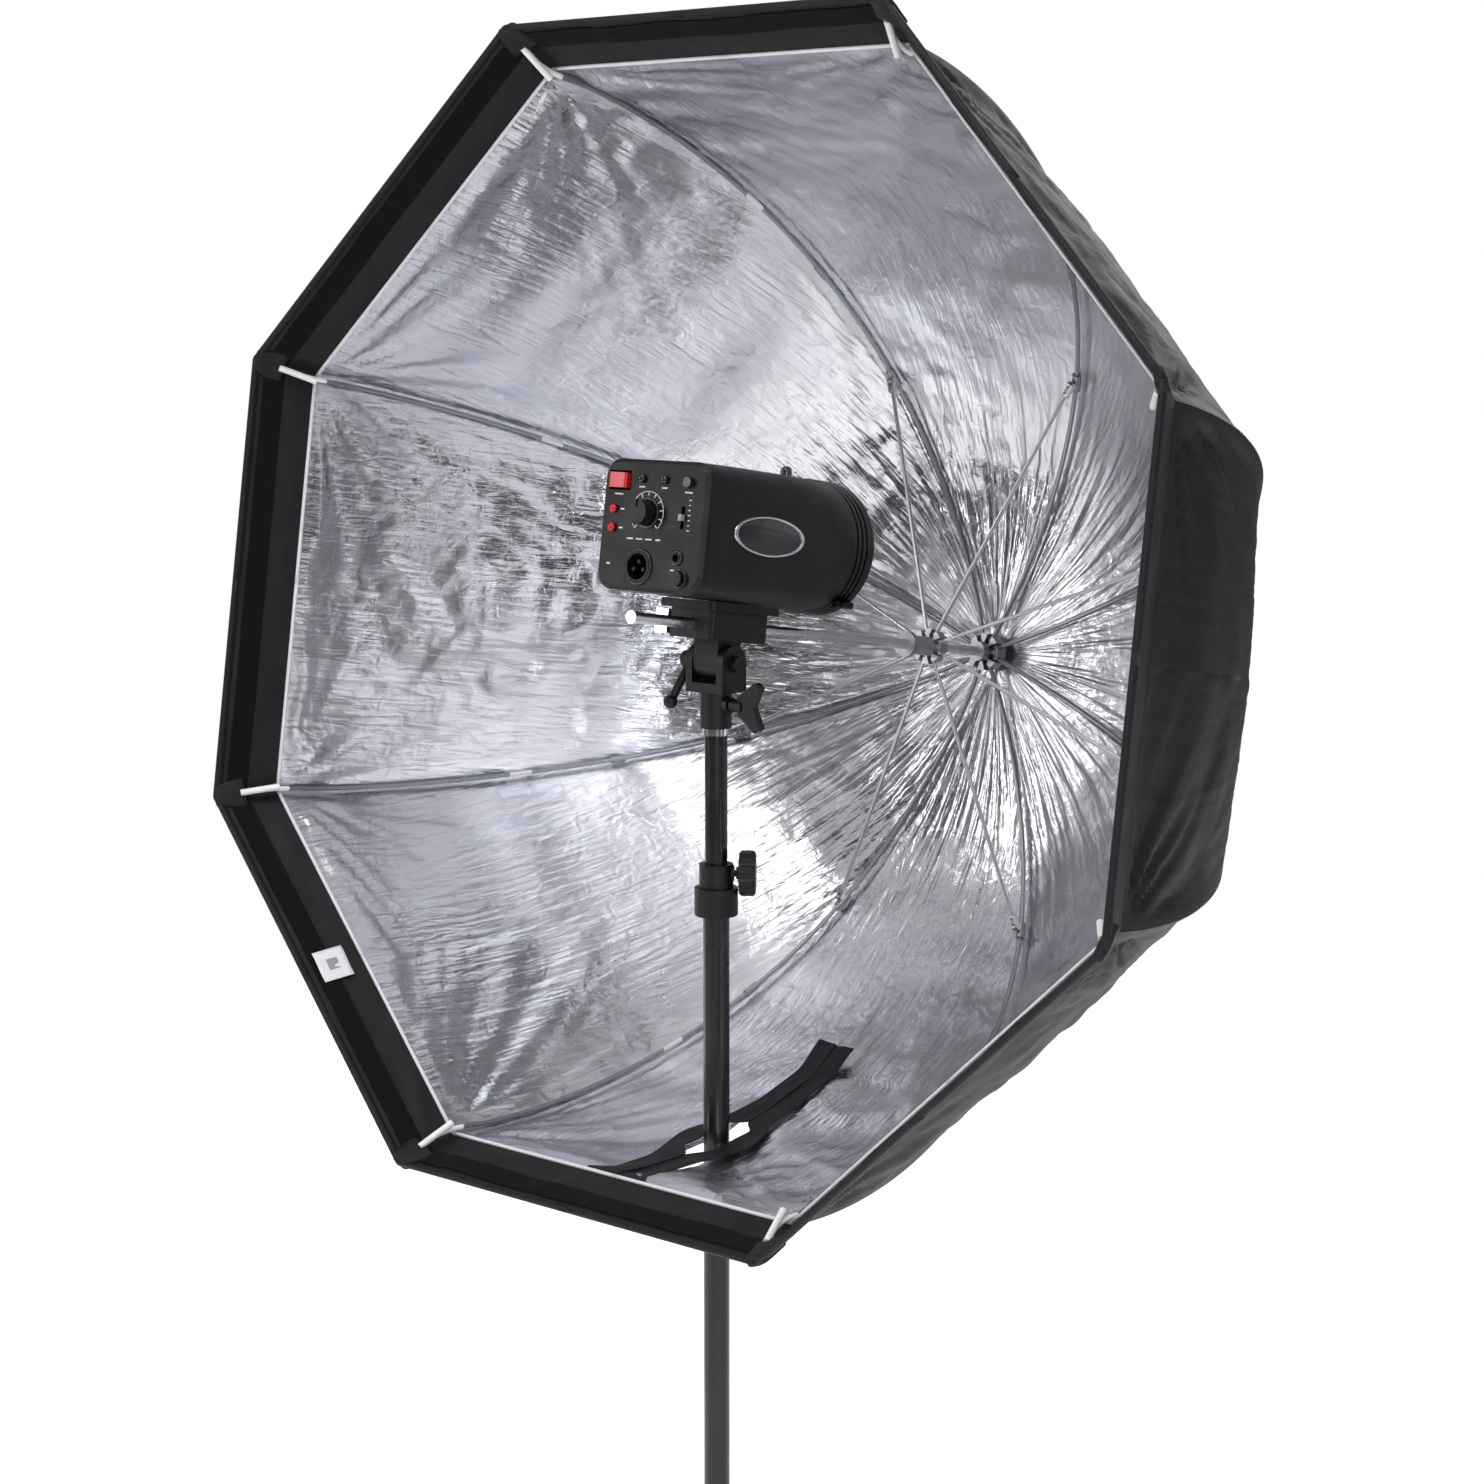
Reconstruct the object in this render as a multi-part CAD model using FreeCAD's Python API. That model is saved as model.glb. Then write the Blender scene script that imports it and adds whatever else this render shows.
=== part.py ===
import FreeCAD, Part
import math
import os

# Octagonal umbrella softbox with a compact flash head, on a folding light stand.
# Millimetres. Z up, the stand's pole is the Z axis and the floor is z = 0.
# The open side of the softbox faces -Y and its crown lies towards +Y.

V = FreeCAD.Vector
X, Y, Z = V(1, 0, 0), V(0, 1, 0), V(0, 0, 1)

# --- driving dimensions ---------------------------------------------------------------
FRONT_RADIUS = 514.0            # centre to corner of the octagonal mouth (950 across flats)
SIDES = 8
HALF_STEP = 180.0 / SIDES       # half the angle between two ribs
TILT = 8.6                      # the shaft's slope at rest, crown end low
PIVOT_HEIGHT = 1420.0           # tilt bolt above the floor
SHAFT_ABOVE_PIVOT = 30.0

LIP_DEPTH = 0.0989 * FRONT_RADIUS     # mouth to the edge of the silver lining
LIP_RADIUS = 0.951 * FRONT_RADIUS     # corner radius at that edge
CROWN_DEPTH = 0.985 * FRONT_RADIUS
POLE_DEPTH = 0.2137 * FRONT_RADIUS    # where the shaft crosses the pole, behind the mouth
DEPTH_POWER = 2 / 1.70                # the two exponents of the dome's superellipse
RADIUS_POWER = 0.75

FABRIC = 1.2
SEAM_GAP = 0.3
RIB_R = 2.1
RIB_INSET = 6.5                 # rib centre line inside the dome's outer surface
JOINT_ANGLE = 63.5              # place of the rib joint on the dome curve, degrees of 90
FERRULE_ANGLE = 48.0
TIP_CAP = 32.0

SHAFT_R = 4.5
SHAFT_FRONT = 0.024 * FRONT_RADIUS
HUB_R = 17.0
HINGE_R = 12.0                  # radius of the hub's and the runner's hinge rings
HUB_DEPTH = 0.957 * FRONT_RADIUS
RUNNER_DEPTH = 0.788 * FRONT_RADIUS
RUNNER_LENGTH = 38.0
RUNNING = 0.08                  # radial clearance of a sliding or turning fit

SLOT_WIDTH = 30.0               # opening for the pole in the bottom panel
SLOT_FRONT = -48.0              # its ends, measured from the pole along the shaft
SLOT_BACK = 202.0

TOP_TUBE_R, MIDDLE_TUBE_R, LOWER_TUBE_R = 9.5, 11.0, 12.5
TUBE_WALL = 1.2
CLAMP_BOTTOM = PIVOT_HEIGHT - 54
MIDDLE_COLLAR_TOP = 1252.0
LOWER_COLLAR_TOP = 690.0
COLLAR_HEIGHT = 43.5
TUBE_FOOT = 62.0                # lower end of the lower tube
KNOB_AZIMUTH = 38.0
SCREW_R = 3.0                   # clamp screws

LEG_AZIMUTHS = (90, 210, 330)
LEG_PIVOT_R = 30.0
LEG_PIVOT_Z = 420.0
BRACE_PIVOT_Z = 110.0
FOOT_R, FOOT_Z, FOOT_BALL = 495.0, 9.5, 11.0
LEG_TUBE_R = 7.5

HEAD_WIDTH, HEAD_HEIGHT, HEAD_CORNER = 114.0, 107.0, 15.0
HEAD_BOTTOM = 20.0              # above the shaft's axis
HEAD_REAR = -94.0               # along the shaft, measured from the pole
HEAD_RING = 94.0                # where the round front ring starts
HEAD_FRONT = 124.0
HEAD_WALL = 2.5

# --- values worked out from them ----------------------------------------------------------
slope = math.radians(TILT)
PIVOT = V(0, 0, PIVOT_HEIGHT)
SHAFT_Z = PIVOT_HEIGHT + SHAFT_ABOVE_PIVOT
# Softbox and head are drawn level, with the mouth at y = MOUTH, then turned about the bolt.
MOUTH = -(POLE_DEPTH + SHAFT_ABOVE_PIVOT * math.tan(slope))
HEAD_MIDDLE = SHAFT_Z + HEAD_BOTTOM + HEAD_HEIGHT / 2

os.makedirs("parts", exist_ok=True)


# --- helpers ------------------------------------------------------------------------------
def save(name, *solids):
    shape = solids[0] if len(solids) == 1 else Part.makeCompound(list(solids))
    shape.exportStep("parts/" + name + ".step")
    print(name, len(shape.Solids), round(shape.Volume / 1000, 2), shape.isValid())


def tilted(*solids):
    """Turns level softbox or head pieces about the tilt bolt to the rest slope."""
    return [s.copy().rotate(PIVOT, X, -TILT) for s in solids]


def rod(a, b, radius):
    return Part.makeCylinder(radius, (b - a).Length, a, b - a)


def pipe(a, b, outer, inner):
    return rod(a, b, outer).cut(rod(a, b, inner))


def block(low, high):
    return Part.makeBox(high.x - low.x, high.y - low.y, high.z - low.z, low)


def fuse(first, *others):
    return first.multiFuse(list(others)).removeSplitter()


def around_pole(shape, azimuth):
    """A piece drawn towards +X, turned about the pole."""
    return shape.copy().rotate(V(0, 0, 0), Z, azimuth)


def around_shaft(shape, number):
    """A piece drawn straight up from the level shaft, turned about it to one of eight places."""
    return shape.copy().rotate(V(0, 0, SHAFT_Z), Y, HALF_STEP + number * 2 * HALF_STEP)


def polar(radius, depth, across=0.0):
    """A point above the level shaft, from its radius and its depth behind the mouth."""
    return V(across, MOUTH + depth, SHAFT_Z + radius)


# --- the dome's curve -----------------------------------------------------------------------
def dome(angle):
    """Corner radius and depth of the dome, from 0 at the silver edge to 90 at the crown."""
    s, c = math.sin(math.radians(angle)), math.cos(math.radians(angle))
    depth = LIP_DEPTH + (CROWN_DEPTH - LIP_DEPTH) * s ** DEPTH_POWER
    return LIP_RADIUS * c ** RADIUS_POWER, depth


def dome_inward(angle):
    """Unit vector (radius, depth) that points from the dome's surface to its inside."""
    r0, d0 = dome(max(angle - 0.5, 0.0))
    r1, d1 = dome(min(angle + 0.5, 89.9))
    length = math.hypot(r1 - r0, d1 - d0)
    return -(d1 - d0) / length, (r1 - r0) / length


def dome_inset(angle, inset):
    r, d = dome(angle)
    nr, nd = dome_inward(angle)
    return r + nr * inset, d + nd * inset


HUB_EDGE_ANGLE = 89.0
CURVE_ANGLES = [0, 10, 20, 30, 40, 50, 60, 68, 75, 81, 86, HUB_EDGE_ANGLE]


def panel_band(inset, thickness, angles):
    """One fabric strip between two ribs: flat across, curved from mouth to crown."""
    flat = math.cos(math.radians(HALF_STEP))

    def edge(depth_in):
        points = []
        for a in angles:
            r, d = dome_inset(a, depth_in)
            points.append(polar(r * flat, d))
        curve = Part.BSplineCurve()
        curve.interpolate(points)
        return curve.toShape(), points
    outer, po = edge(inset)
    inner, pi = edge(inset + thickness)
    face = Part.Face(Part.Wire([outer, Part.makeLine(po[-1], pi[-1]),
                                inner.reversed(), Part.makeLine(pi[0], po[0])]))
    half = FRONT_RADIUS * math.sin(math.radians(HALF_STEP)) + 5
    return face.extrude(V(2 * half, 0, 0)).translate(V(-half, 0, 0))


def wedge(gap):
    """The sector that one panel fills, a little less than the full step between ribs."""
    reach = FRONT_RADIUS * 1.1
    wide = reach * math.tan(math.radians(HALF_STEP)) - gap / 2
    start = gap / 2 / math.tan(math.radians(HALF_STEP))
    corners = [V(0, MOUTH - 5, SHAFT_Z + start), V(wide, MOUTH - 5, SHAFT_Z + reach),
               V(-wide, MOUTH - 5, SHAFT_Z + reach)]
    face = Part.Face(Part.makePolygon(corners + corners[:1]))
    return face.extrude(V(0, CROWN_DEPTH + 20, 0))


SECTOR = wedge(SEAM_GAP)


# --- canopy ---------------------------------------------------------------------------------
def panel_place(shape, number):
    """Panel 0 hangs straight down under the shaft."""
    return shape.copy().rotate(V(0, 0, SHAFT_Z), Y, 180 + number * 2 * HALF_STEP)


def slot_box(margin, low_radius, high_radius):
    """Space above the level shaft that the pole's slot cuts out of the bottom panel."""
    half = SLOT_WIDTH / 2 + margin
    return block(V(-half, SLOT_FRONT - margin, SHAFT_Z + low_radius),
                 V(half, SLOT_BACK + margin, SHAFT_Z + high_radius))


def make_canopy():
    panel = panel_band(0, FABRIC, CURVE_ANGLES).common(SECTOR)
    save("canopy_panels", *tilted(*[panel_place(panel, n) for n in range(1, SIDES)]))
    slotted = panel.cut(slot_box(0, 200, FRONT_RADIUS))
    save("slot_panel", *tilted(panel_place(slotted, 0)))
    border = panel_band(FABRIC + 0.3, 1.0, [0, 10, 20, 30, 40, 50])
    border = border.common(slot_box(7, 200, FRONT_RADIUS)).cut(slot_box(0, 200, FRONT_RADIUS))
    save("slot_placket", *tilted(panel_place(border, 0)))


def make_lip():
    flat = math.cos(math.radians(HALF_STEP))
    length = math.hypot(FRONT_RADIUS - LIP_RADIUS, LIP_DEPTH)
    nr, nd = -LIP_DEPTH / length, -(FRONT_RADIUS - LIP_RADIUS) / length
    outer = [(FRONT_RADIUS, 0), (LIP_RADIUS + 0.3, LIP_DEPTH - 0.5)]
    inner = [(r + nr * FABRIC, d + nd * FABRIC) for r, d in reversed(outer)]
    points = [polar(r * flat, d) for r, d in outer + inner]
    half = FRONT_RADIUS
    face = Part.Face(Part.makePolygon(points + points[:1]))
    strip = face.extrude(V(2 * half, 0, 0)).translate(V(-half, 0, 0)).common(SECTOR)
    save("lip_band", *tilted(*[panel_place(strip, n) for n in range(SIDES)]))


# --- ribs and stretchers ----------------------------------------------------------------------
HUB_HINGE = (HINGE_R, HUB_DEPTH)
RUNNER_HINGE = (HINGE_R, RUNNER_DEPTH)
JOINT = dome_inset(JOINT_ANGLE, RIB_INSET + 7.0)


def rib_path():
    """Hinge at the hub, along the dome to the silver edge, and on behind the lip."""
    points = [polar(*HUB_HINGE)]
    for a in (84, 79, 73, 66, 58, 50, 41, 31, 20, 12, 6, 1):
        points.append(polar(*dome_inset(a, RIB_INSET)))
    tip_r = LIP_RADIUS + (FRONT_RADIUS - LIP_RADIUS) * 0.57 - RIB_INSET
    tip_d = LIP_DEPTH * 0.43 - RIB_INSET / 2
    points.append(polar(tip_r, tip_d))
    curve = Part.BSplineCurve()
    curve.interpolate(points)
    return curve


def on_rib(curve, angle, length, outer, inner):
    """A sleeve round the rib, centred where the dome curve has this angle."""
    centre = polar(*dome_inset(angle, RIB_INSET))
    at = curve.parameter(centre)
    along = curve.tangent(at)[0]
    middle = curve.value(at)
    return pipe(middle - along * (length / 2), middle + along * (length / 2), outer, inner)


def rib_solids():
    curve = rib_path()
    start, way = curve.value(curve.FirstParameter), curve.tangent(curve.FirstParameter)[0]
    ring = Part.Wire([Part.Circle(start, way, RIB_R).toShape()])
    wire = Part.Wire([curve.toShape()]).makePipeShell([ring], True, False)
    eye = rod(start - X * 1.6, start + X * 1.6, 2.8)
    hole = rod(start - X * 3, start + X * 3, 1.2)
    wire = fuse(wire, eye).cut(hole).cut(block(start + V(1.6, -9, -9), start + V(9, 9, 4)))
    wire = wire.cut(block(start + V(-9, -9, -9), start + V(-1.6, 9, 4)))
    clip = on_rib(curve, JOINT_ANGLE, 16, 4.0, RIB_R + 0.01)
    joint = polar(*JOINT)
    ear = rod(joint - X * 1.5, joint + X * 1.5, 3.2)
    at = curve.value(curve.parameter(joint))
    across = (joint - at).normalize()
    neck = rod(at + across * 2.8, joint, 1.5)
    clip = fuse(clip, ear, neck).cut(rod(joint - X * 3, joint + X * 3, 1.1))
    ferrule = on_rib(curve, FERRULE_ANGLE, 14, 3.4, RIB_R + 0.01)
    end, back = curve.value(curve.LastParameter), curve.tangent(curve.LastParameter)[0]
    cap = pipe(end - back * TIP_CAP, end + back * 1, 2.9, RIB_R + 0.01)
    cap = fuse(cap, rod(end + back * 0.5, end + back * 3, 2.9))
    return [wire, clip, ferrule, cap]


def stretcher_solid():
    joint, runner = polar(*JOINT), polar(*RUNNER_HINGE)
    way = (runner - joint).normalize()
    bar = rod(joint + way * 9, runner - way * 1.5, 1.8)
    side = X.cross(way)
    cheeks = []
    for x in (-3.2, 1.8):
        plate = Part.makeBox(1.4, 11, 5, V(x, 0, -2.5))
        frame = FreeCAD.Rotation(X, way, side, "XYZ")
        cheeks.append(plate.copy())
        cheeks[-1].Placement = FreeCAD.Placement(joint, frame)
        cheeks.append(rod(joint + X * x, joint + X * (x + 1.4), 2.5))
    bridge = rod(joint + way * 9.5 - X * 3.2, joint + way * 9.5 + X * 3.2, 1.8)
    pin = rod(joint - X * 3.6, joint + X * 3.6, 1.0)
    eye = rod(runner - X * 1.3, runner + X * 1.3, 2.2)
    return fuse(bar, bridge, pin, eye, *cheeks)


def make_ribs():
    rib, stretcher = rib_solids(), stretcher_solid()
    for n in range(SIDES):
        save("rib_%d" % (n + 1), *tilted(*[around_shaft(s, n) for s in rib]))
        save("stretcher_%d" % (n + 1), *tilted(around_shaft(stretcher, n)))


def notched(disc, depth_low, depth_high, width, inner):
    """Cuts the eight hinge slots into a hub or runner flange."""
    cutter = block(polar(inner, depth_low, -width / 2), polar(HUB_R + 8, depth_high, width / 2))
    return disc.cut(Part.makeCompound([around_shaft(cutter, n) for n in range(SIDES)]))


def make_shaft():
    front, back = polar(0, SHAFT_FRONT), polar(0, HUB_DEPTH + 12)
    shaft = pipe(front, back, SHAFT_R, SHAFT_R - 0.9)
    plug = rod(front - Y * 6, front, SHAFT_R + 0.8)
    save("umbrella_shaft", *tilted(shaft, plug))

    disc = rod(polar(0, HUB_DEPTH - 6), polar(0, HUB_DEPTH + 7), HUB_R)
    disc = fuse(disc, rod(polar(0, HUB_DEPTH - 16), polar(0, HUB_DEPTH - 5), 9.0))
    disc = disc.cut(rod(polar(0, 0), polar(0, CROWN_DEPTH + 30), SHAFT_R))
    disc = notched(disc, HUB_DEPTH - 7, HUB_DEPTH + 4, 5.2, HINGE_R - 4)
    ring = Part.makeTorus(HINGE_R, 0.8, polar(0, HUB_DEPTH), Y)
    save("crown_hub", *tilted(fuse(disc, ring)))

    cap_low = CROWN_DEPTH + 0.6
    cap = rod(polar(0, cap_low), polar(0, cap_low + 6), 15.0)
    cap = cap.cut(rod(polar(0, cap_low - 1), polar(0, cap_low + 2), SHAFT_R + 0.3))
    cap = cap.makeFillet(2.0, [e for e in cap.Edges if e.BoundBox.YMin > MOUTH + cap_low + 5.9])
    save("crown_cap", *tilted(cap))

    sleeve = rod(polar(0, RUNNER_DEPTH - RUNNER_LENGTH), polar(0, RUNNER_DEPTH + 6), 8.5)
    flange = rod(polar(0, RUNNER_DEPTH - 5), polar(0, RUNNER_DEPTH + 5), HUB_R - 1)
    lip = rod(polar(0, RUNNER_DEPTH - RUNNER_LENGTH), polar(0, RUNNER_DEPTH - RUNNER_LENGTH + 5), 11.5)
    runner = fuse(sleeve, flange, lip)
    runner = runner.cut(rod(polar(0, 0), polar(0, CROWN_DEPTH), SHAFT_R + RUNNING))
    runner = notched(runner, RUNNER_DEPTH - 6, RUNNER_DEPTH + 7, 5.0, HINGE_R - 3.2)
    save("runner", *tilted(runner))


# --- stand ----------------------------------------------------------------------------------
def collar(tube_r, inner_tube_r, top):
    """Plastic collar pressed on a tube's end, with a bore for the next tube up."""
    low, step = top - COLLAR_HEIGHT, top - 20
    body = rod(V(0, 0, low), V(0, 0, step), tube_r + 7.2)
    neck = rod(V(0, 0, step), V(0, 0, top), inner_tube_r + 4.7)
    boss = around_pole(rod(V(0, 0, top - 8), V(inner_tube_r + 5.5, 0, top - 8), 6.5), KNOB_AZIMUTH)
    body = fuse(body, neck, boss)
    body = body.makeFillet(1.5, [e for e in body.Edges
                                 if abs(e.BoundBox.ZMin - low) < 0.01 and e.BoundBox.ZLength < 0.01])
    thread = rod(V(0, 0, top - 8), V(inner_tube_r + 9, 0, top - 8), SCREW_R + RUNNING)
    body = body.cut(around_pole(thread, KNOB_AZIMUTH))
    body = body.cut(rod(V(0, 0, low - 1), V(0, 0, top - 14), tube_r))
    return body.cut(rod(V(0, 0, top - 15), V(0, 0, top + 10), inner_tube_r + RUNNING))


def lobed_knob(tube_r, inner_r, radius, thickness, height, azimuth):
    """Round clamp knob with its screw, the axis level and pointing away from the pole."""
    wheel = rod(V(inner_r, 0, height), V(inner_r + thickness, 0, height), radius)
    edges = [e for e in wheel.Edges if e.BoundBox.XLength < 0.01]
    wheel = wheel.makeFillet(min(3.0, thickness / 3), edges)
    grooves = []
    for k in range(10):
        turn = math.radians(36 * k)
        centre = V(inner_r - 1, (radius + 2) * math.cos(turn), height + (radius + 2) * math.sin(turn))
        grooves.append(rod(centre, centre + X * (thickness + 2), 3.6))
    wheel = wheel.cut(Part.makeCompound(grooves))
    hub = rod(V(inner_r - 2.4, 0, height), V(inner_r + 1, 0, height), 5.0)
    screw = rod(V(tube_r + 0.5, 0, height), V(inner_r, 0, height), SCREW_R)
    return around_pole(fuse(wheel, hub, screw), azimuth)


def make_columns():
    low, mid, top = LOWER_TUBE_R, MIDDLE_TUBE_R, TOP_TUBE_R
    save("column_lower", pipe(V(0, 0, TUBE_FOOT), V(0, 0, LOWER_COLLAR_TOP - 14), low, low - TUBE_WALL))
    save("column_middle", pipe(V(0, 0, 585), V(0, 0, MIDDLE_COLLAR_TOP - 14), mid, mid - TUBE_WALL))
    save("column_top", pipe(V(0, 0, 745), V(0, 0, CLAMP_BOTTOM - 6), top, top - TUBE_WALL))
    save("collar_lower", collar(low, mid, LOWER_COLLAR_TOP))
    save("collar_middle", collar(mid, top, MIDDLE_COLLAR_TOP))
    save("knob_lower", lobed_knob(mid, low + 8, 19, 14, LOWER_COLLAR_TOP - 8, KNOB_AZIMUTH))
    save("knob_middle", lobed_knob(top, mid + 8, 19, 14, MIDDLE_COLLAR_TOP - 8, KNOB_AZIMUTH))
    stud = fuse(rod(V(0, 0, CLAMP_BOTTOM - 16), V(0, 0, CLAMP_BOTTOM - 6), top - TUBE_WALL),
                rod(V(0, 0, CLAMP_BOTTOM - 6), V(0, 0, CLAMP_BOTTOM - 0.4), top + 1.5),
                rod(V(0, 0, CLAMP_BOTTOM - 1), V(0, 0, CLAMP_BOTTOM + 32), 8.0))
    save("top_stud", stud)


def cheek_pair(height, inner, thick, reach, tall):
    """Two upright cheeks towards +X that hold a leg between them."""
    found = []
    for side in (-1, 1):
        y0 = side * inner if side > 0 else -inner - thick
        plate = block(V(13, y0, height - tall / 2), V(reach, y0 + thick, height + tall / 2))
        found.append(plate)
    return found


def make_tripod():
    sleeve = rod(V(0, 0, LEG_PIVOT_Z - 24), V(0, 0, LEG_PIVOT_Z + 30), 18.5)
    for az in LEG_AZIMUTHS:
        sleeve = fuse(sleeve, *[around_pole(c, az) for c in cheek_pair(LEG_PIVOT_Z, 8.0, 3.4, 38, 20)])
    pin = rod(V(LEG_PIVOT_R, -20, LEG_PIVOT_Z), V(LEG_PIVOT_R, 20, LEG_PIVOT_Z), 2.5 + RUNNING)
    sleeve = sleeve.cut(Part.makeCompound([around_pole(pin, az) for az in LEG_AZIMUTHS]))
    thread = rod(V(0, 0, LEG_PIVOT_Z + 14), V(25, 0, LEG_PIVOT_Z + 14), SCREW_R + RUNNING)
    sleeve = sleeve.cut(around_pole(thread, 30))
    sleeve = sleeve.cut(rod(V(0, 0, 0), V(0, 0, 900), LOWER_TUBE_R + RUNNING))
    save("leg_slider", sleeve)
    save("knob_slider", lobed_knob(LOWER_TUBE_R, 21.2, 15, 13, LEG_PIVOT_Z + 14, 30))

    hub = rod(V(0, 0, TUBE_FOOT - 4), V(0, 0, BRACE_PIVOT_Z + 16), 17.5)
    for az in LEG_AZIMUTHS:
        lug = block(V(12, -7.6, BRACE_PIVOT_Z - 9), V(37, 7.6, BRACE_PIVOT_Z + 9))
        hub = fuse(hub, around_pole(lug, az))
    pin = rod(V(LEG_PIVOT_R, -20, BRACE_PIVOT_Z), V(LEG_PIVOT_R, 20, BRACE_PIVOT_Z), 2.5 + RUNNING)
    hub = hub.cut(Part.makeCompound([around_pole(pin, az) for az in LEG_AZIMUTHS]))
    hub = hub.cut(rod(V(0, 0, TUBE_FOOT), V(0, 0, 300), LOWER_TUBE_R))
    save("base_hub", hub)

    top, foot = V(LEG_PIVOT_R, 0, LEG_PIVOT_Z), V(FOOT_R, 0, FOOT_Z)
    along = (foot - top).normalize()
    tube = pipe(top + along * 9, foot - along * 8, LEG_TUBE_R, LEG_TUBE_R - 1.2)
    end = fuse(rod(top, top + along * 26, LEG_TUBE_R - 1.2),
               rod(top, top + along * 8.9, LEG_TUBE_R),
               Part.makeSphere(LEG_TUBE_R, top),
               rod(top - Y * 12, top + Y * 12, 2.5))
    shoe = fuse(rod(foot - along * 38, foot, FOOT_BALL - 1), Part.makeSphere(FOOT_BALL, foot))
    shoe = shoe.cut(rod(foot - along * 40, foot - along * 8, LEG_TUBE_R))
    shoe = shoe.cut(block(V(FOOT_R - 60, -40, -40), V(FOOT_R + 40, 40, 0)))

    inner_hinge = V(LEG_PIVOT_R, 0, BRACE_PIVOT_Z)
    half_span = (LEG_PIVOT_Z - BRACE_PIVOT_Z) / 2
    outer_hinge = top + along * (half_span / abs(along.z))
    way = (outer_hinge - inner_hinge).normalize()
    length = (outer_hinge - inner_hinge).Length
    frame = FreeCAD.Rotation(way, Y, way.cross(Y), "XYZ")
    bars = []
    for y in (-11.2, 8.2):
        bar = fuse(Part.makeBox(length, 3, 12, V(0, y, -6)),
                   rod(V(0, y, 0), V(0, y + 3, 0), 6), rod(V(length, y, 0), V(length, y + 3, 0), 6))
        bar.Placement = FreeCAD.Placement(inner_hinge, frame)
        bars.append(bar)
    rivets = []
    for side in (-1, 1):
        head = outer_hinge + Y * (side * 11.2)
        rivets.append(rod(head, head + Y * (side * 1.6), 4))
    pin = rod(inner_hinge - Y * 12.4, inner_hinge + Y * 12.4, 2.5)
    mid = inner_hinge + way * (length * 0.42)
    spacer = rod(mid - Y * 9, mid + Y * 9, 3)
    brace = fuse(bars[0], bars[1], pin, spacer, *rivets)
    for n, az in enumerate(LEG_AZIMUTHS):
        leg = [around_pole(s, az) for s in (tube, end, shoe)]
        save("leg_%d" % (n + 1), *leg)
        save("brace_%d" % (n + 1), around_pole(brace, az))


# --- tilt bracket -----------------------------------------------------------------------------
def make_bracket():
    foot, neck = V(0, 0, CLAMP_BOTTOM), V(0, 0, PIVOT_HEIGHT - 18)
    body = rod(foot, neck, 13.0)
    saddle = block(V(-20, -15, PIVOT_HEIGHT - 24), V(20, 15, PIVOT_HEIGHT - 16))
    ears = []
    for x in (-20, 13.2):
        ears.append(block(V(x, -15, PIVOT_HEIGHT - 18), V(x + 6.8, 15, PIVOT_HEIGHT)))
        ears.append(rod(V(x, 0, PIVOT_HEIGHT), V(x + 6.8, 0, PIVOT_HEIGHT), 15))
    boss = rod(V(0, 0, PIVOT_HEIGHT - 34), V(16.5, 0, PIVOT_HEIGHT - 34), 7)
    body = fuse(body, saddle, boss, *ears)
    body = body.cut(rod(V(0, 0, CLAMP_BOTTOM - 1), V(0, 0, CLAMP_BOTTOM + 33), 8.0 + RUNNING))
    body = body.cut(rod(V(-40, 0, PIVOT_HEIGHT), V(40, 0, PIVOT_HEIGHT), 3 + RUNNING))
    body = body.cut(rod(V(0, 0, PIVOT_HEIGHT - 34), V(40, 0, PIVOT_HEIGHT - 34), 3 + RUNNING))
    save("bracket_base", body)

    z = PIVOT_HEIGHT - 34
    screw = rod(V(8.5, 0, z), V(26, 0, z), 3)
    stem = rod(V(18, 0, z), V(30, 0, z), 5.5)
    outline = [V(26, -3.5, z - 7), V(44, -3.5, z - 21), V(50, -3.5, z - 17), V(42, -3.5, z),
               V(50, -3.5, z + 17), V(44, -3.5, z + 21), V(26, -3.5, z + 7)]
    wing = Part.Face(Part.makePolygon(outline + outline[:1])).extrude(V(0, 7, 0))
    wing = wing.makeFillet(2.0, [e for e in wing.Edges if e.BoundBox.YLength > 6.9])
    save("wing_knob", fuse(screw, stem, wing))


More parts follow.
